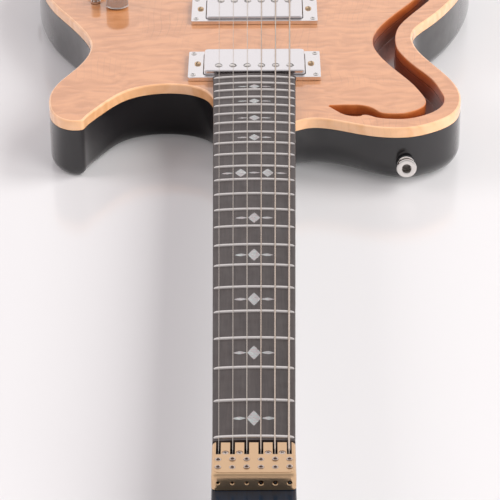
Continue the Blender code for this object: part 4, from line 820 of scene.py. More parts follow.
# Each station of the neck: its place, half width, depth and the power of its section.
twelfth = fret_line(12)
heel = JOINT_Y - 0.020
stations = [
    (HEAD_END, 0.02025, 0.0158, 4.0), (HEAD_END + 0.0008, 0.02090, 0.0171, 4.0),
    (HEAD_END + 0.0025, HEAD_HALF, 0.0183, 4.0), (ZERO_FRET_Y - 0.018, HEAD_HALF, 0.0183, 3.2),
    (ZERO_FRET_Y - 0.006, HEAD_HALF, 0.0176, 2.8),
]
for y, depth, power in (
    (ZERO_FRET_Y + 0.004, 0.0160, 2.4), (ZERO_FRET_Y + 0.014, 0.0150, 2.2), (twelfth, 0.01675, 2.2),
    (heel, 0.0185, 2.6), (JOINT_Y, 0.0185, 3.0),
):
    stations.append((y, board_half(y), depth, power))
stations += [(JOINT_Y + 0.0004, TENON_HALF, 0.0180, 9.0), (-0.1800, TENON_HALF, 0.0180, 9.0)]
stations = np.array(stations)
rows_y = np.concatenate([
    stations[:3, 0], np.linspace(HEAD_END + 0.006, BOARD_START, 16), [BOARD_START + 0.00001],
    np.linspace(BOARD_START + 0.002, twelfth, 34), np.linspace(twelfth + 0.02, heel, 8),
    [JOINT_Y - 0.012, JOINT_Y - 0.006, JOINT_Y], stations[10:, 0],
])
half, depth, power = (np.interp(rows_y, stations[:, 0], stations[:, k]) for k in (1, 2, 3))
top = np.where(rows_y <= BOARD_START, HEAD_TOP, BODY_TOP)
neck = surface("neck_wood", neck_rows(rows_y, half, depth, power, top), black_lacquer)
cut_away(neck, bar_tool(-TRUSS_SLOT_HALF, TRUSS_SLOT_HALF, -0.6602, -0.2517, 0.033, TOOL_TOP))
fitted(even_shading(neck), "guitar", "black_gloss", "neck")

veneer, tree, shader = finish_of(
    "dark blue-black veneer", (0.012, 0.016, 0.03), 0.35, Coat_Weight=0.6, Coat_Roughness=0.05, Coat_IOR=1.5,
    Specular_IOR_Level=0.3,
)
grained(tree, shader, (520.0, 26.0, 520.0), (0.004, 0.020, 0.044, 1), (0.002, 0.009, 0.019, 1), 0.4)
low, high = np.array(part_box("head_plate"))
wide, long = (high - low)[:2]
middle = (high + low)[:2] / 2
veneer_rows = plate_rows(
    lambda inset: rounded_box(wide - 2 * inset, long - 2 * inset, 0.003 - inset, middle),
    low[2], high[2], 0.0004, 3,
)
head_plate = surface("head_veneer", veneer_rows, veneer)
fitted(even_shading(head_plate), "guitar", "dark_laminate", "head_plate")

hex_profile = [(0.0024, 0.0), (0.0026, 0.0003), (0.0026, 0.0069), (0.0024, 0.0073)]
hex_profile += [(0.0015, 0.0073), (0.0015, 0.0033)]
truss_nut = turned("truss_nut_hex", hex_profile, (0.0, -0.6502, 0.0359), nickel, "-Y", sides=6, sharp=20.0)
fitted(truss_nut, "truss_nut", "steel", "truss_rod_nut")


def dressed(name, finish):
    """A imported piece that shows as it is, in one finish."""
    materials = frame["nodes"][name].data.materials
    materials.clear()
    materials.append(finish)


dressed("truss_rod", dark_screw)


# Fretboard
# An arched ebony board glued on the neck, its long edges rolled over, with 22 nickel frets and
# a zero fret pressed in, pearl lozenges down the middle and small dots along the bass edge.
ebony, tree, shader = finish_of("oiled ebony", (0.05, 0.04, 0.038), 0.42, Specular_IOR_Level=0.5)
pores = grained(tree, shader, (700.0, 30.0, 700.0), (0.062, 0.047, 0.044, 1), (0.034, 0.025, 0.024, 1), 0.5)
worn(tree, shader, 120.0, 0.36, 0.50)
bumped(tree, shader, pores, 0.12, 0.0002)
BOARD_END = fret_line(LAST_FRET) + 0.0062
BOARD_CORNER = 0.003
BOARD_ROLL = 0.0009
FRET_HEIGHT = 0.0011
FRET_HALF = 0.0012


def arch(x):
    """Height of the board's face: a 300 mm cylinder along the strings."""
    return BOARD_TOP - x**2 / 0.6


def board_rows(y, half, roll):
    """Rings of the board: the arched face, rolled over by a quarter circle at both long edges,
    then the straight sides and the flat underside."""
    u = np.sin(np.linspace(-math.pi / 2, math.pi / 2, 40))[None, :]
    x = half[:, None] * u
    past = np.clip((np.abs(x) - (half[:, None] - roll)) / roll, 0, 1)
    z = arch(x) - roll * (1 - np.sqrt(1 - past**2))
    low = np.full((len(y), 1), BODY_TOP + GAP)
    x = np.hstack([x, half[:, None], -half[:, None]])
    z = np.hstack([z, low, low])
    return np.stack([x, np.broadcast_to(y[:, None], x.shape), z], axis=-1)[:, ::-1]


inside, below = BOARD_CORNER * quarter(6).T
y = np.concatenate([
    [BOARD_START], np.linspace(BOARD_START + 0.01, BOARD_END - 0.004, 30), BOARD_END - below,
])
narrower = np.concatenate([np.zeros(31), inside])
board = surface("board", board_rows(y, board_half(y) - narrower, BOARD_ROLL), ebony)
fitted(even_shading(board), "guitar", "ebony", "fretboard")

fret_nickel = metal("fret nickel", (0.74, 0.70, 0.68), 0.26, 0.36, (900.0, 60.0, 900.0), 0.02)


def fret(number):
    """A low half-round bar across the arched board, its section shrinking close to both ends by
    the root of 1 - |share of the half width|^24."""
    line = fret_line(number)
    across = np.sin(np.linspace(-1, 1, 26) * math.pi / 2)[:, None]
    around = np.linspace(math.pi + 0.10, -0.10, 12)[None, :]
    x = across * (board_half(line) - 0.0006) + 0 * around
    size = np.sqrt(np.clip(1 - np.abs(across) ** 24, 0.10, 1))
    y = line + size * FRET_HALF * np.cos(around)
    z = arch(x) - 0.0001 + size * FRET_HEIGHT * np.sin(around)
    return surface("fret", np.stack([x, y, z], axis=-1), fret_nickel, sharp=50.0)


frets = [fret(number) for number in range(LAST_FRET + 1)]
fitted(joined("frets", *frets), "guitar", "steel")

# Pearl: clouded bands of grey, rose and green that change over a few millimetres.
pearl, tree, shader = finish_of("shell pearl", (0.72, 0.70, 0.66), 0.22, Coat_Weight=0.6, Coat_Roughness=0.08)
clouds = add(tree, "TexNoise", {}, {
    "Vector": stretched(tree, (260.0, 420.0, 260.0)), "Scale": 1.0, "Detail": 3.0, "Distortion": 1.5,
})
sheen = ramp(tree, clouds.outputs["Fac"], (0.25, (0.20, 0.19, 0.19)), (0.75, (0.62, 0.60, 0.57)),
             (0.42, (0.42, 0.35, 0.36)), (0.58, (0.34, 0.40, 0.40)))
fill(tree, shader, {"Base Color": sheen})


def inlay(x, y, wide, long, power):
    """A flat piece let into the arched board: |x/wide|^power + |y/long|^power = 1 at its edge,
    filled by shrinking rings, and a wall sunk below the face."""
    angle = np.arange(32) * 2 * math.pi / 32
    size = (np.abs(np.cos(angle)) ** power + np.abs(np.sin(angle)) ** power) ** (-1 / power)
    share = np.array([1.0, 1.0, 0.6, 0.2])[:, None]
    px = x + wide * share * size * np.cos(angle)
    py = y + long * share * size * np.sin(angle)
    lift = np.array([-0.0008, 0.00004, 0.00005, 0.00005])[:, None]
    return surface("inlay", np.stack([px, py, arch(px) + lift], axis=-1), pearl)


INLAY_HALF = 0.0036
inlays = []
for number in (1, 3, 5, 7, 9, 12, 15, 17, 19, 21):
    y = (fret_line(number - 1) + fret_line(number)) / 2
    room = fret_line(number) - fret_line(number - 1)
    long = min(0.0075, room * 0.30)
    lozenges = (-0.0085, 0.0085) if number == 12 else (0.0,)
    leaves = (-0.0170, 0.0, 0.0170) if number == 12 else (-0.0078, 0.0078)
    inlays += [inlay(x, y, INLAY_HALF, long, 1.1) for x in lozenges]
    inlays += [inlay(x, y, INLAY_HALF, long * 0.22, 1.25) for x in leaves]
fitted(joined("inlays", *inlays), "guitar", "ebony")

ivory, tree, shader = finish_of("white dot plastic", (0.78, 0.76, 0.70), 0.3)
worn(tree, shader, 400.0, 0.25, 0.4)
dot_profile = [(0.0010, -0.0006), (0.0010, 0.00004)]
dots = []
for number in (3, 5, 7, 9, 12, 15, 17, 19, 21):
    for beside in (-0.004, 0.004) if number == 12 else (0.0,):
        y = (fret_line(number - 1) + fret_line(number)) / 2 + beside
        dots.append(turned("dot", dot_profile, (board_half(y), y, 0.0450), ivory, "X", 16))
fitted(joined("side_dots", *dots), "guitar", "ebony")


# Headpiece
# A milled block of satin brass at the head. Each string passes through a hole in its front and
# is pinched by two set screws; four small countersunk screws fasten the block to the head.
brass = metal("satin brass", (0.73, 0.495, 0.30), 0.30, 0.40, (60.0, 900.0, 900.0), 0.02)
brass_turned = metal("turned brass", (0.80, 0.55, 0.33), 0.18, 0.30, (900.0, 300.0, 900.0), 0.03)
screw_steel = metal("set screw steel", (0.62, 0.52, 0.465), 0.20, 0.32, (900.0, 900.0, 900.0), 0.05)
SLOT_FRONT_Y = ZERO_FRET_Y - 0.0218
SLOT_HALF = 0.00125
WELL_RADIUS = 0.0017
HEAD_CORNER = 0.003
CLAMP_ROWS = (ZERO_FRET_Y - 0.0265, ZERO_FRET_Y - 0.0338)
MOUNTS = [(x, ZERO_FRET_Y - 0.0200) for x in (-0.0145, -0.0073, 0.0073, 0.0145)]
PLAIN_STRINGS = 3


def bevelled(piece, width, angle, segments):
    """A small rounded bevel along the edges that turn by more than an angle."""
    change = piece.modifiers.new("edge round", "BEVEL")
    change.width = width
    change.segments = segments
    change.limit_method = "ANGLE"
    change.angle_limit = math.radians(angle)
    change.harden_normals = True
    change.use_clamp_overlap = True


def string_at(number, y):
    """Sideways place of a string: 36.2 mm spread at the zero fret, 53 mm at the saddles."""
    along = (y - ZERO_FRET_Y) / SCALE_LENGTH
    return (number / 5 - 0.5) * (0.0362 + 0.0168 * along)


(x0, y0, z0), (x1, y1, z1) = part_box("headpiece")
corner = HEAD_CORNER * quarter(6)
front = [(x0 + inside, y0 + below) for inside, below in corner]
front += [(x1 - below, y0 + inside) for inside, below in corner]
middle = np.array([(x0 + x1) / 2, (y0 + y1) / 2])
block_outline = np.array([(x1, y1), (x0, y1), *front])
levels = [(0.0, z0)]
levels += [(0.0012 * inside, z1 - 0.0004 - 0.0032 * below) for inside, below in quarter(6)]
levels += [(0.0014, z1 - 0.0004), (0.0015, z1)]
block_rows = []
for inset, z in levels:
    share = 1 - inset / np.array([(x1 - x0) / 2, (y1 - y0) / 2])
    ring = middle + (block_outline - middle) * share
    ring[:, 1] = np.where(block_outline[:, 1] == y1, y1, ring[:, 1])
    block_rows.append(raised(ring, z)[0])
headpiece = surface("clamp_block", np.array(block_rows), brass, sharp=35.0)
hole_z = z0 + 0.0042
holes, slots, wells = [], [], []
for number in range(6):
    x = string_at(number, ZERO_FRET_Y)
    slots.append(bar_tool(x - SLOT_HALF, x + SLOT_HALF, SLOT_FRONT_Y, y1 + 0.01, z0 + 0.0030, TOOL_TOP))
    wide = 0.0007 if number < PLAIN_STRINGS else 0.0011
    flared = [(wide + 0.0004, -0.001), (wide + 0.0004, 0.0), (wide, 0.0004), (wide, 0.0197)]
    holes.append(turned("hole tool", flared, (x, y0, hole_z), brass_turned, "Y", 24))
    for row in CLAMP_ROWS:
        well = [(WELL_RADIUS, hole_z), (WELL_RADIUS, z1 + 0.001)]
        wells.append(turned("well tool", well, (x, row, 0.0), brass_turned, "Z", 20))
sink = [(0.0018, z1 - 0.0016), (0.0018, z1 + 0.001)]
sinks = [turned("sink tool", sink, (*at, 0.0), brass_turned, "Z", 20) for at in MOUNTS]
for tools in (slots, holes, wells, sinks):
    cut_away(headpiece, *tools)
bevelled(headpiece, 0.00012, 35.0, 1)
fitted(headpiece, "guitar", "brass", "headpiece")


def socket_screw(at, radius, rise, key, turn, finish):
    """A screw with a round rim and a hexagonal socket: a profile turned through 36 sides, where
    the socket's radii follow the hexagon r·cos 30°/cos(angle from the nearest face's middle)."""
    x, y, z = at
    top = z + rise
    rim = [(radius, z - 0.004), (radius, top - 0.0003), (radius - 0.0003, top), (key * 1.25, top)]
    socket = [(key, top - 0.0003), (key, top - 0.0020)]
    hexagonal = (np.arange(6) >= 4)[:, None]

    def hexagon(angle, height):
        apart = (angle + turn) % (math.pi / 3) - math.pi / 6
        return np.where(hexagonal, math.cos(math.pi / 6) / np.cos(apart), 1.0)

    return turned("socket screw", rim + socket, (x, y, 0.0), finish, "Z", 36, hexagon, sharp=30.0)


set_screws = []
for number in range(6):
    for k, row in enumerate(CLAMP_ROWS):
        at = (string_at(number, ZERO_FRET_Y), row, z1)
        rise = 0.0003 + 0.0002 * ((number * 2 + k) % 3)
        set_screws.append(socket_screw(at, 0.00165, rise, 0.0010, number * 0.7 + k, screw_steel))
fitted(joined("clamp_screws", *set_screws), "guitar", "steel")
small = [screw_head((x, y, z1 - 0.0006), 0.00175, 0.0007, screw_steel, 30 + 900 * x) for x, y in MOUNTS]
fitted(joined("head_screws", *small), "guitar", "steel")


# Strings
# Three plain steel strings on the treble side and three wound ones on the bass side, from the
# clamp over the zero fret and the saddles to the ball ends in their carriages.
plain_steel = metal("string steel", (0.70, 0.64, 0.57), 0.16, 0.26, (2000.0, 400.0, 2000.0), 0.02)
wound, tree, shader = finish_of("wound string", (0.78, 0.66, 0.55), 0.22, 1.0)
length = add(tree, "Attribute", {"attribute_name": "length"}, {}).outputs["Fac"]
pitch = add(tree, "Attribute", {"attribute_name": "turns"}, {}).outputs["Fac"]
coil = sum_of(tree, "SINE", sum_of(tree, "MULTIPLY", sum_of(tree, "MULTIPLY", length, pitch), 2 * math.pi))
bumped(tree, shader, coil, 0.22, 0.00008)
# Painted shade: the grooves between the winding's turns are coloured darker than its crests.
groove_shade = ranged(tree, coil, -1.0, 0.2)
fill(tree, shader, {"Base Color": between(tree, groove_shade, (0.50, 0.40, 0.32, 1), (0.72, 0.61, 0.52, 1))})

STRING_WIDTHS = (0.00025, 0.00033, 0.00043, 0.00066, 0.00091, 0.00117)
SADDLE_TOP = 0.0110
SADDLE_BACK = 0.0092
AXIS_Z = 0.050
TRAVEL = 0.0080
CARRIAGE_ROOM = 0.0022
BALL_LENGTH = 0.0034
CARRIAGE_WALL = 0.0020


def rounded_path(points, reach, steps=6):
    """The points joined by straight runs, each inner corner rounded by a quadratic curve that
    starts and ends at most a reach away from it."""
    p = np.array(points, float)
    t = np.linspace(0, 1, steps)[None, :, None]
    before, at, after = p[:-2], p[1:-1], p[2:]
    run_in = np.linalg.norm(before - at, axis=1)[:, None]
    run_out = np.linalg.norm(after - at, axis=1)[:, None]
    start = at + (before - at) * np.minimum(reach / run_in, 0.4)
    end = at + (after - at) * np.minimum(reach / run_out, 0.4)
    curve = (1 - t) ** 2 * start[:, None] + 2 * t * (1 - t) * at[:, None] + t**2 * end[:, None]
    return np.vstack([p[:1], curve.reshape(-1, 3), p[-1:]])


def noted(piece, key, values):
    """A number kept for each point of the piece, where its material finds it."""
    kept = piece.data.attributes.new(key, "FLOAT", "POINT")
    kept.data.foreach_set("value", values)


def tube(name, path, radius, finish, sides=12):
    """A ring carried along a path: the ring's plane holds X and the direction square to both X
    and the path's own direction."""
    tangent = np.gradient(path, axis=0)
    tangent /= np.linalg.norm(tangent, axis=1)[:, None]
    up = np.cross(np.array([1.0, 0.0, 0.0]), tangent)
    up /= np.linalg.norm(up, axis=1)[:, None]
    side = np.cross(tangent, up)
    angle = (np.arange(sides) * 2 * math.pi / sides)[None, :, None]
    grid = path[:, None] + radius * (np.cos(angle) * side[:, None] + np.sin(angle) * up[:, None])
    made = surface(name, grid[:, ::-1], finish, sharp=60.0)
    along = np.concatenate([[0], np.cumsum(np.linalg.norm(np.diff(path, axis=0), axis=1))])
    noted(made, "length", np.repeat(along, sides))
    return made


ball_y = SADDLE_BACK + TRAVEL + CARRIAGE_ROOM + CARRIAGE_WALL + GAP
ball_profile = [(0.0012, 0.0), (0.0019, 0.0005), (0.00165, 0.0017), (0.0019, 0.0029), (0.0012, BALL_LENGTH)]
for number, width in enumerate(STRING_WIDTHS):
    x_zero, x_saddle = string_at(number, ZERO_FRET_Y), string_at(number, 0.0)
    over_fret = arch(x_zero) + FRET_HEIGHT + 0.0001 + width / 2
    over_saddle = BODY_TOP + SADDLE_TOP - x_saddle**2 / 0.6
    path = rounded_path([
        (x_zero, y0 + 0.0004, hole_z), (x_zero, SLOT_FRONT_Y, hole_z), (x_zero, ZERO_FRET_Y, over_fret),
        (x_saddle, 0.0, over_saddle), (x_saddle, ball_y + 0.0004, AXIS_Z),
    ], 0.0016)
    string = tube(f"line_{number + 1}", path, width / 2, wound if number >= PLAIN_STRINGS else plain_steel)
    noted(string, "turns", np.full(len(string.data.vertices), 1 / (width * 0.32)))
    ball = turned("ball", ball_profile, (x_saddle, ball_y, AXIS_Z), brass_turned, "Y", 20)
    fitted(joined(f"string_and_ball_{number + 1}", string, ball), "guitar", "steel", f"string_{number + 1}")


# Pickups
# Two pickups under bright nickel covers, each with one row of slotted pole screws, in bright
# metal rings that four corner screws hold on the cap and two larger screws set for height.
cover_metal = metal("satin nickel cover", (0.845, 0.815, 0.825), 0.17, 0.24, (220.0, 2400.0, 800.0), 0.03)
ring_metal = metal("bright ring metal", (0.86, 0.825, 0.82), 0.09, 0.16, (2000.0, 180.0, 800.0), 0.02)
golden = metal("golden screw", (0.72, 0.52, 0.33), 0.14, 0.24, (900.0, 900.0, 900.0), 0.05)
coil_finish, tree, shader = finish_of("black coil winding", (0.02, 0.02, 0.022), 0.4)
wire_lines = add(tree, "TexWave", {"bands_direction": "Z"}, {
    "Vector": stretched(tree, (1.0, 1.0, 1.0)), "Scale": 900.0,
})
bumped(tree, shader, wire_lines.outputs["Fac"], 0.4, 0.0001)
RING_SIZE = (0.0920, 0.0455)
RING_THICK = 0.0027
COVER_SIZE = (0.0700, 0.0380)
COVER_CORNER = 0.0025
COVER_HEIGHT = 0.0160
COVER_WALL = 0.0008
COVER_ROOM = 0.0006
POLE_RADIUS = 0.0024
POLE_SPACING = 0.0099
POLE_ROW = 0.0110
POLE_TURNS = (8, -14, 22, -5, 12, -20)
PICKUPS = (("neck_pickup", PICKUP_NECK_Y, 0.0038, -1), ("bridge_pickup", PICKUP_BRIDGE_Y, 0.0022, 1))


def plate(name, size, middle, radius, heights, corner, finish, steps=6, rows=4):
    """A plate between two heights, with rounded corners in plan. Its top edge is drawn in by a
    quarter circle, and the corners' radius lessens by half as much."""
    def outline_of(inset):
        return rounded_box(size[0] - 2 * inset, size[1] - 2 * inset, radius - inset / 2, middle, steps=steps)
    return surface(name, plate_rows(outline_of, *heights, corner, rows), finish)


def cover_outline(y, grown):
    """A pickup cover's outline, grown by an amount on each side."""
    return rounded_box(COVER_SIZE[0] + 2 * grown, COVER_SIZE[1] + 2 * grown, COVER_CORNER + grown, (0.0, y))


for name, y, lift, side in PICKUPS:
    low = BODY_TOP + GAP
    high = low + RING_THICK
    ring = plate(f"{name}_mount", RING_SIZE, (0.0, y), 0.0012, (low, high), 0.0002, ring_metal, 4, 2)
    cut_away(ring, pocket(cover_outline(y, COVER_ROOM), 0.03, TOOL_TOP, ring_metal))
    if name == "neck_pickup":
        notch = board_half(BOARD_END) + GAP
        cut_away(ring, bar_tool(-notch, notch, y - 0.04, BOARD_END + GAP, 0.03, TOOL_TOP))
    fitted(even_shading(ring), "guitar", "chrome", f"{name}_ring")

    top = high + lift
    bottom = top - COVER_HEIGHT
    heights = (bottom, top)
    cover = plate(f"{name}_lid", COVER_SIZE, (0.0, y), COVER_CORNER, heights, 0.0012, cover_metal, rows=6)
    cut_away(cover, pocket(cover_outline(y, -COVER_WALL), bottom - 0.01, top - COVER_WALL, cover_metal))
    places = [((k - 2.5) * POLE_SPACING, y + side * POLE_ROW) for k in range(6)]
    cut_away(cover, *[pocket(disc(0.0026, at), top - 0.0024, 0.07, dark_screw) for at in places])
    fitted(even_shading(cover), "guitar", "chrome", f"{name}_cover")

    pole_top = top + 0.0001
    dome = [(POLE_RADIUS * math.cos(t), pole_top + 0.0012 * math.sin(t)) for t in np.linspace(0, 1.5, 9)]
    poles = []
    for at, spin in zip(places, POLE_TURNS):
        pole = turned("pole", [(POLE_RADIUS, top - 0.0030), *dome], (0.0, 0.0, 0.0), nickel)
        cut_away(pole, bar_tool(-0.003, 0.003, -0.0005, 0.0005, pole_top, top + 0.01))
        poles.append(put_at(pole, spin + 10 * side, (*at, 0.0)))
    fitted(joined(f"{name}_pole_screws", *poles), "guitar", "chrome")

    seat = high - 0.0001
    screws = []
    for sx in (-1, 1):
        for sy in (-1, 1):
            at = (sx * 0.0425, y + sy * 0.0185, seat)
            screws.append(screw_head(at, 0.0020, 0.0009, nickel, 35 * sx + 20 * sy))
        at = (sx * 0.0395, y + 0.0005, seat)
        screws.append(screw_head(at, 0.0023, 0.0018, golden, 90 + 25 * sx, cross=False))
    fitted(joined(f"{name}_screws", *screws), "guitar", "chrome")
    dressed(f"{name}_coils", coil_finish)


# Bridge
# A brass plate with guide ribs and an end block. Each string bends over its own saddle into a
# carriage, which a knurled knob at the tail draws by its screw.
BASE_FRONT = -0.0140
BASE_THICK = 0.0030
BLOCK_LENGTH = 0.0115
BLOCK_HEIGHT = 0.0145
RIB_FRONT = 0.0108
RIB_SPACING = 0.0106
RIB_THICK = 0.0020
RIB_HEIGHT = 0.0070
BORE_RADIUS = 0.0023
SADDLE_HALF = 0.0049
SADDLE_FRONT = -0.0060
PIN_OUT = 0.0030
CARRIAGE_WIDTH = 0.0080
low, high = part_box("bridge_base")
bridge_half, back_y = high[0], high[1]
floor_z = BODY_TOP + GAP
plate_top = floor_z + BASE_THICK
block_front = back_y - 0.0120
rib_back = block_front + 0.0005
sunk = plate_top - 0.001
middle = (0.0, (back_y + BASE_FRONT) / 2)
size = (2 * bridge_half, back_y - BASE_FRONT)
base = plate("bridge_plate", size, middle, 0.003, (floor_z, plate_top), 0.0005, brass)
middle = (0.0, block_front + BLOCK_LENGTH / 2)
heights = (sunk, floor_z + BLOCK_HEIGHT)
end_block = plate("end block", (2 * bridge_half, BLOCK_LENGTH), middle, 0.0010, heights, 0.0008, brass, 4)
bores = []
for k in range(6):
    at = (string_at(k, 0.0), block_front, AXIS_Z)
    bores.append(turned("bore tool", [(BORE_RADIUS, -0.01), (BORE_RADIUS, 0.03)], at, brass_turned, "Y", 24))
cut_away(end_block, *bores)
ribs = []
for k in range(7):
    middle = ((k - 3) * RIB_SPACING, (RIB_FRONT + rib_back) / 2)
    heights = (sunk, plate_top + RIB_HEIGHT)
    ribs.append(plate("rib", (RIB_THICK, rib_back - RIB_FRONT), middle, 0.0004, heights, 0.0003, brass, 2, 2))
fitted(joined("bridge_frame", base, end_block, *ribs), "guitar", "brass", "bridge_base")
plate_screws = [screw_head((x, -0.0105, plate_top - 0.0001), 0.0021, 0.0011, nickel, 25 + 400 * x)
                for x in (-0.028, -RIB_SPACING, RIB_SPACING, 0.028)]
fitted(joined("bridge_screws", *plate_screws), "guitar", "brass")

saddle_low = plate_top + GAP
for number, width in enumerate(STRING_WIDTHS):
    x = string_at(number, 0.0)
    crown = BODY_TOP + SADDLE_TOP - x**2 / 0.6 - width / 2 - GAP
    section = np.array([
        (SADDLE_BACK, saddle_low), (SADDLE_BACK, saddle_low + 0.0030), (0.0080, saddle_low + 0.0036),
        (0.0030, crown - 0.0010), (0.0014, crown - 0.0001), (0.0, crown), (-0.0014, crown - 0.0001),
        (-0.0028, crown - 0.0012), (-0.0052, saddle_low + 0.0048), (SADDLE_FRONT, saddle_low + 0.0040),
        (SADDLE_FRONT, saddle_low),
    ])
    grid = np.array([[(x + across, *point) for point in section] for across in (-SADDLE_HALF, SADDLE_HALF)])
    saddle = surface(f"saddle_block_{number + 1}", grid, brass, sharp=25.0)
    bevelled(saddle, 0.0003, 25.0, 2)
    fitted(saddle, "guitar", "brass", f"saddle_{number + 1}")
pin_top = saddle_low + 0.0045
pin = [(0.0011, pin_top - 0.002), (0.0011, pin_top - 0.0001), (0.0009, pin_top), (0.00055, pin_top)]
pin.append((0.00055, pin_top - 0.001))
pins = []
for number in range(6):
    for x in (string_at(number, 0.0) - PIN_OUT, string_at(number, 0.0) + PIN_OUT):
        pins.append(turned("pin", pin, (x, 0.0066, 0.0), nickel, "Z", 12))
fitted(joined("saddle_pins", *pins), "guitar", "steel")

for number in range(6):
    x = string_at(number, 0.0)
    low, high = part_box(f"carriage_{number + 1}")
    size, middle = (CARRIAGE_WIDTH, high[1] - low[1]), (x, (high[1] + low[1]) / 2)
    heights = (low[2], high[2])
    carriage = plate(f"slide_{number + 1}", size, middle, 0.0008, heights, 0.0005, brass, 3)
    start = low[1] + CARRIAGE_WALL
    end = start + BALL_LENGTH + TRAVEL + 0.0009
    cut_away(carriage, bar_tool(x - BORE_RADIUS, x + BORE_RADIUS, start, end, AXIS_Z - 0.0022, 0.07))
    cut_away(carriage, bar_tool(x - 0.0011, x + 0.0011, low[1] - 0.01, start + 0.001, AXIS_Z - 0.0011, 0.07))
    screw_bore = [(BORE_RADIUS, 0.0), (BORE_RADIUS, 0.03)]
    cut_away(carriage, turned("screw bore", screw_bore, (x, end - 0.002, AXIS_Z), brass_turned, "Y", 20))
    bevelled(carriage, 0.0002, 40.0, 1)
    fitted(carriage, f"string_carriage_{number + 1}", "brass", f"carriage_{number + 1}")


def knurl(count, slope, depth, band):
    """Two crossing sets of ridges round a turned piece, within a band of heights: the radius times
    1 - depth·m, where m is the larger of |sin(a + b)| and |sin(a - b)|, with a = count·angle/2 and
    b = slope·height."""
    def pattern(angle, height):
        a, b = count * angle / 2, slope * height
        ridge = np.maximum(np.abs(np.sin(a + b)), np.abs(np.sin(a - b)))
        inside = (height > band[0] - 1e-6) & (height < band[-1] + 1e-6)
        return np.where(inside, 1 - depth * ridge, 1.0)
    return pattern


for number in range(6):
    low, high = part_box(f"tuner_knob_{number + 1}")
    face, back = high[1] - 0.0145, high[1]
    band = np.linspace(face + 0.0030, back - 0.0020, 30)
    profile = [(0.0014, low[1]), (0.0020, low[1] + 0.0006), (0.0020, face), (0.0039, face)]
    profile += [(0.0042, face + 0.0004), (0.0042, face + 0.0018), (0.0047, face + 0.0026)]
    profile += [(0.0049, h) for h in band]
    profile += [(0.0047, back - 0.0014), (0.0042, back - 0.0005), (0.0036, back), (0.0030, back)]
    profile += [(0.0026, back - 0.0004)]
    at = (string_at(number, 0.0), 0.0, AXIS_Z)
    ridges = knurl(28, 1900.0, 0.055, band)
    knob = turned(f"tail_knob_{number + 1}", profile, at, brass_turned, "Y", 96, ridges, sharp=50.0)
    fitted(knob, f"tuner_{number + 1}", "brass", f"tuner_knob_{number + 1}")


# Controls
# Knurled metal knobs for volume and tone on their shafts, each over a nut on the cap, and a
# three-way toggle with a barrel tip. The pots and the switch hang under the cap, out of sight.
knob_metal = metal("knob metal", (0.66, 0.59, 0.55), 0.11, 0.22, (1200.0, 1200.0, 1200.0), 0.05)
part_steel = metal("stamped steel", (0.52, 0.50, 0.47), 0.25, 0.40, (600.0, 600.0, 600.0), 0.08)

GRIP_HEIGHT = 0.0165
GRIP_RADIUS = 0.0085
LEVER_RADIUS = 0.0037
LEVER_ROUND = 0.0012
foot = BODY_TOP + 0.0008
crown = foot + GRIP_HEIGHT
band = np.linspace(foot + 0.0012, crown - 0.0046, 42)
profile = [(0.0033, crown - 0.0037), (0.0033, foot + 0.0032), (0.0063, foot + 0.0032), (0.0063, foot)]
profile += [(0.0079, foot), (0.0083, foot + 0.0005)]
profile += [(GRIP_RADIUS, h) for h in band]
profile += [(0.0084, crown - 0.0040)]
for angle in np.linspace(0, math.pi / 2, 12)[1:]:
    wide = 0.0084 * math.cos(angle) ** 0.8 if angle < 1.5 else 0.0004
    profile.append((wide, crown - 0.0038 + 0.0038 * math.sin(angle)))
ridges = knurl(38, 1700.0, 0.11, band)
for name, at in (("volume", VOLUME_AT), ("tone", TONE_AT)):
    knob = turned(f"{name}_grip", profile, (*at, 0.0), knob_metal, "Z", 216, ridges, sharp=60.0)
    fitted(knob, name, "steel", f"{name}_knob")
    dressed(f"{name}_pot", part_steel)
    dressed(f"{name}_shaft", part_steel)

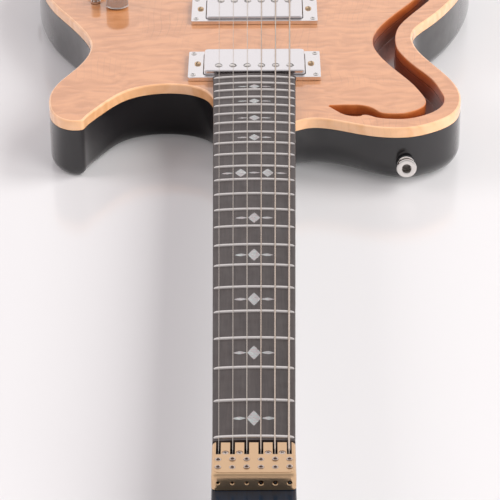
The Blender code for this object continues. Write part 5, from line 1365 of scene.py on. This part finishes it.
foot, tip = BODY_TOP + 0.0028, BODY_TOP + 0.0110
ball = [(0.0026 * math.cos(a), BODY_TOP + 0.0026 * math.sin(a)) for a in np.linspace(-0.87, 0.87, 9)]
profile = [(0.0008, BODY_TOP - 0.0040), *ball, (0.0016, foot), (0.0033, foot), (LEVER_RADIUS, foot + 0.0004)]
for t in np.linspace(0.1, 1, 8):
    waist = 0.0002 * math.sin(math.pi * t)
    profile.append((LEVER_RADIUS - waist, foot + 0.0004 + t * (tip - foot - 0.0016)))
profile += [(LEVER_RADIUS - LEVER_ROUND * inside, tip - LEVER_ROUND * below) for inside, below in quarter(5)]
profile += [(0.0010, tip + 0.00001)]
lever = turned("switch_tip", profile, (*SWITCH_AT, 0.0), knob_metal, "Z", 40)
fitted(lever, "switch", "steel", "switch_lever")
dressed("switch_body", knob_metal)


# Output socket and strap buttons
# A quarter-inch socket through the treble side with its nut outside, and two turned strap
# buttons, each held by a wood screw down its middle.
depth = JACK_AT[0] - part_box("output_jack")[0][0]
step = depth - 0.0025
profile = [(0.0062, step - 0.0330 - GAP), (0.0062, 0.0), (0.0047, 0.0), (0.0047, step)]
profile += [(0.0066, step), (0.0070, depth - 0.0021), (0.0070, depth - 0.0005), (0.0066, depth)]
profile += [(0.0048, depth), (0.0046, depth - 0.0004), (0.0038, depth - 0.0004)]
profile += [(0.00325, depth - 0.0010), (0.00325, depth - 0.030)]
fitted(turned("socket", profile, JACK_AT, nickel, "-X", 36), "guitar", "steel", "output_jack")

# A black washer under each button: a part of its own, whose black also stands in for the shade and dark
# reflection at the button's base.
dark_washer_profile = [(0.0060, GAP), (0.0064, GAP + 0.0005), (0.0064, 0.0015), (0.0060, 0.0020), (0.0030, 0.0020)]
profile = [(0.0040, 0.0016), (0.0056, 0.0020), (0.0058, 0.0023), (0.0056, 0.0026), (0.0046, 0.0028)]
profile += [(0.0042 + 0.0016 * t**3, 0.0028 + 0.0035 * t) for t in np.linspace(0, 1, 8)]
profile += [(0.0064, 0.0066), (0.0067, 0.0070), (0.0067, 0.0082), (0.0064, 0.0088), (0.0060, 0.0090)]
profile += [(0.0036, 0.0090), (0.0032, 0.0088), (0.0032, 0.0040)]
for name, towards, sign in (("strap_button_horn", "-Y", -1), ("strap_button_tail", "Y", 1)):
    low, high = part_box(name)
    x, z = (low[0] + high[0]) / 2, (low[2] + high[2]) / 2
    y = high[1] + GAP if sign < 0 else low[1] - GAP
    washer = turned(f"{name}_washer", dark_washer_profile, (x, y, z), satin_black, towards, 40)
    fitted(washer, "guitar", "cover_plastic")
    button = turned(f"{name}_turned", profile, (x, y, z), nickel, towards, 40)
    screw = screw_head((x, y + sign * 0.0040, z), 0.0030, 0.0010, dark_screw, 20.0, towards)
    fitted(joined(f"{name}_and_screw", button, screw), "guitar", "chrome", name)
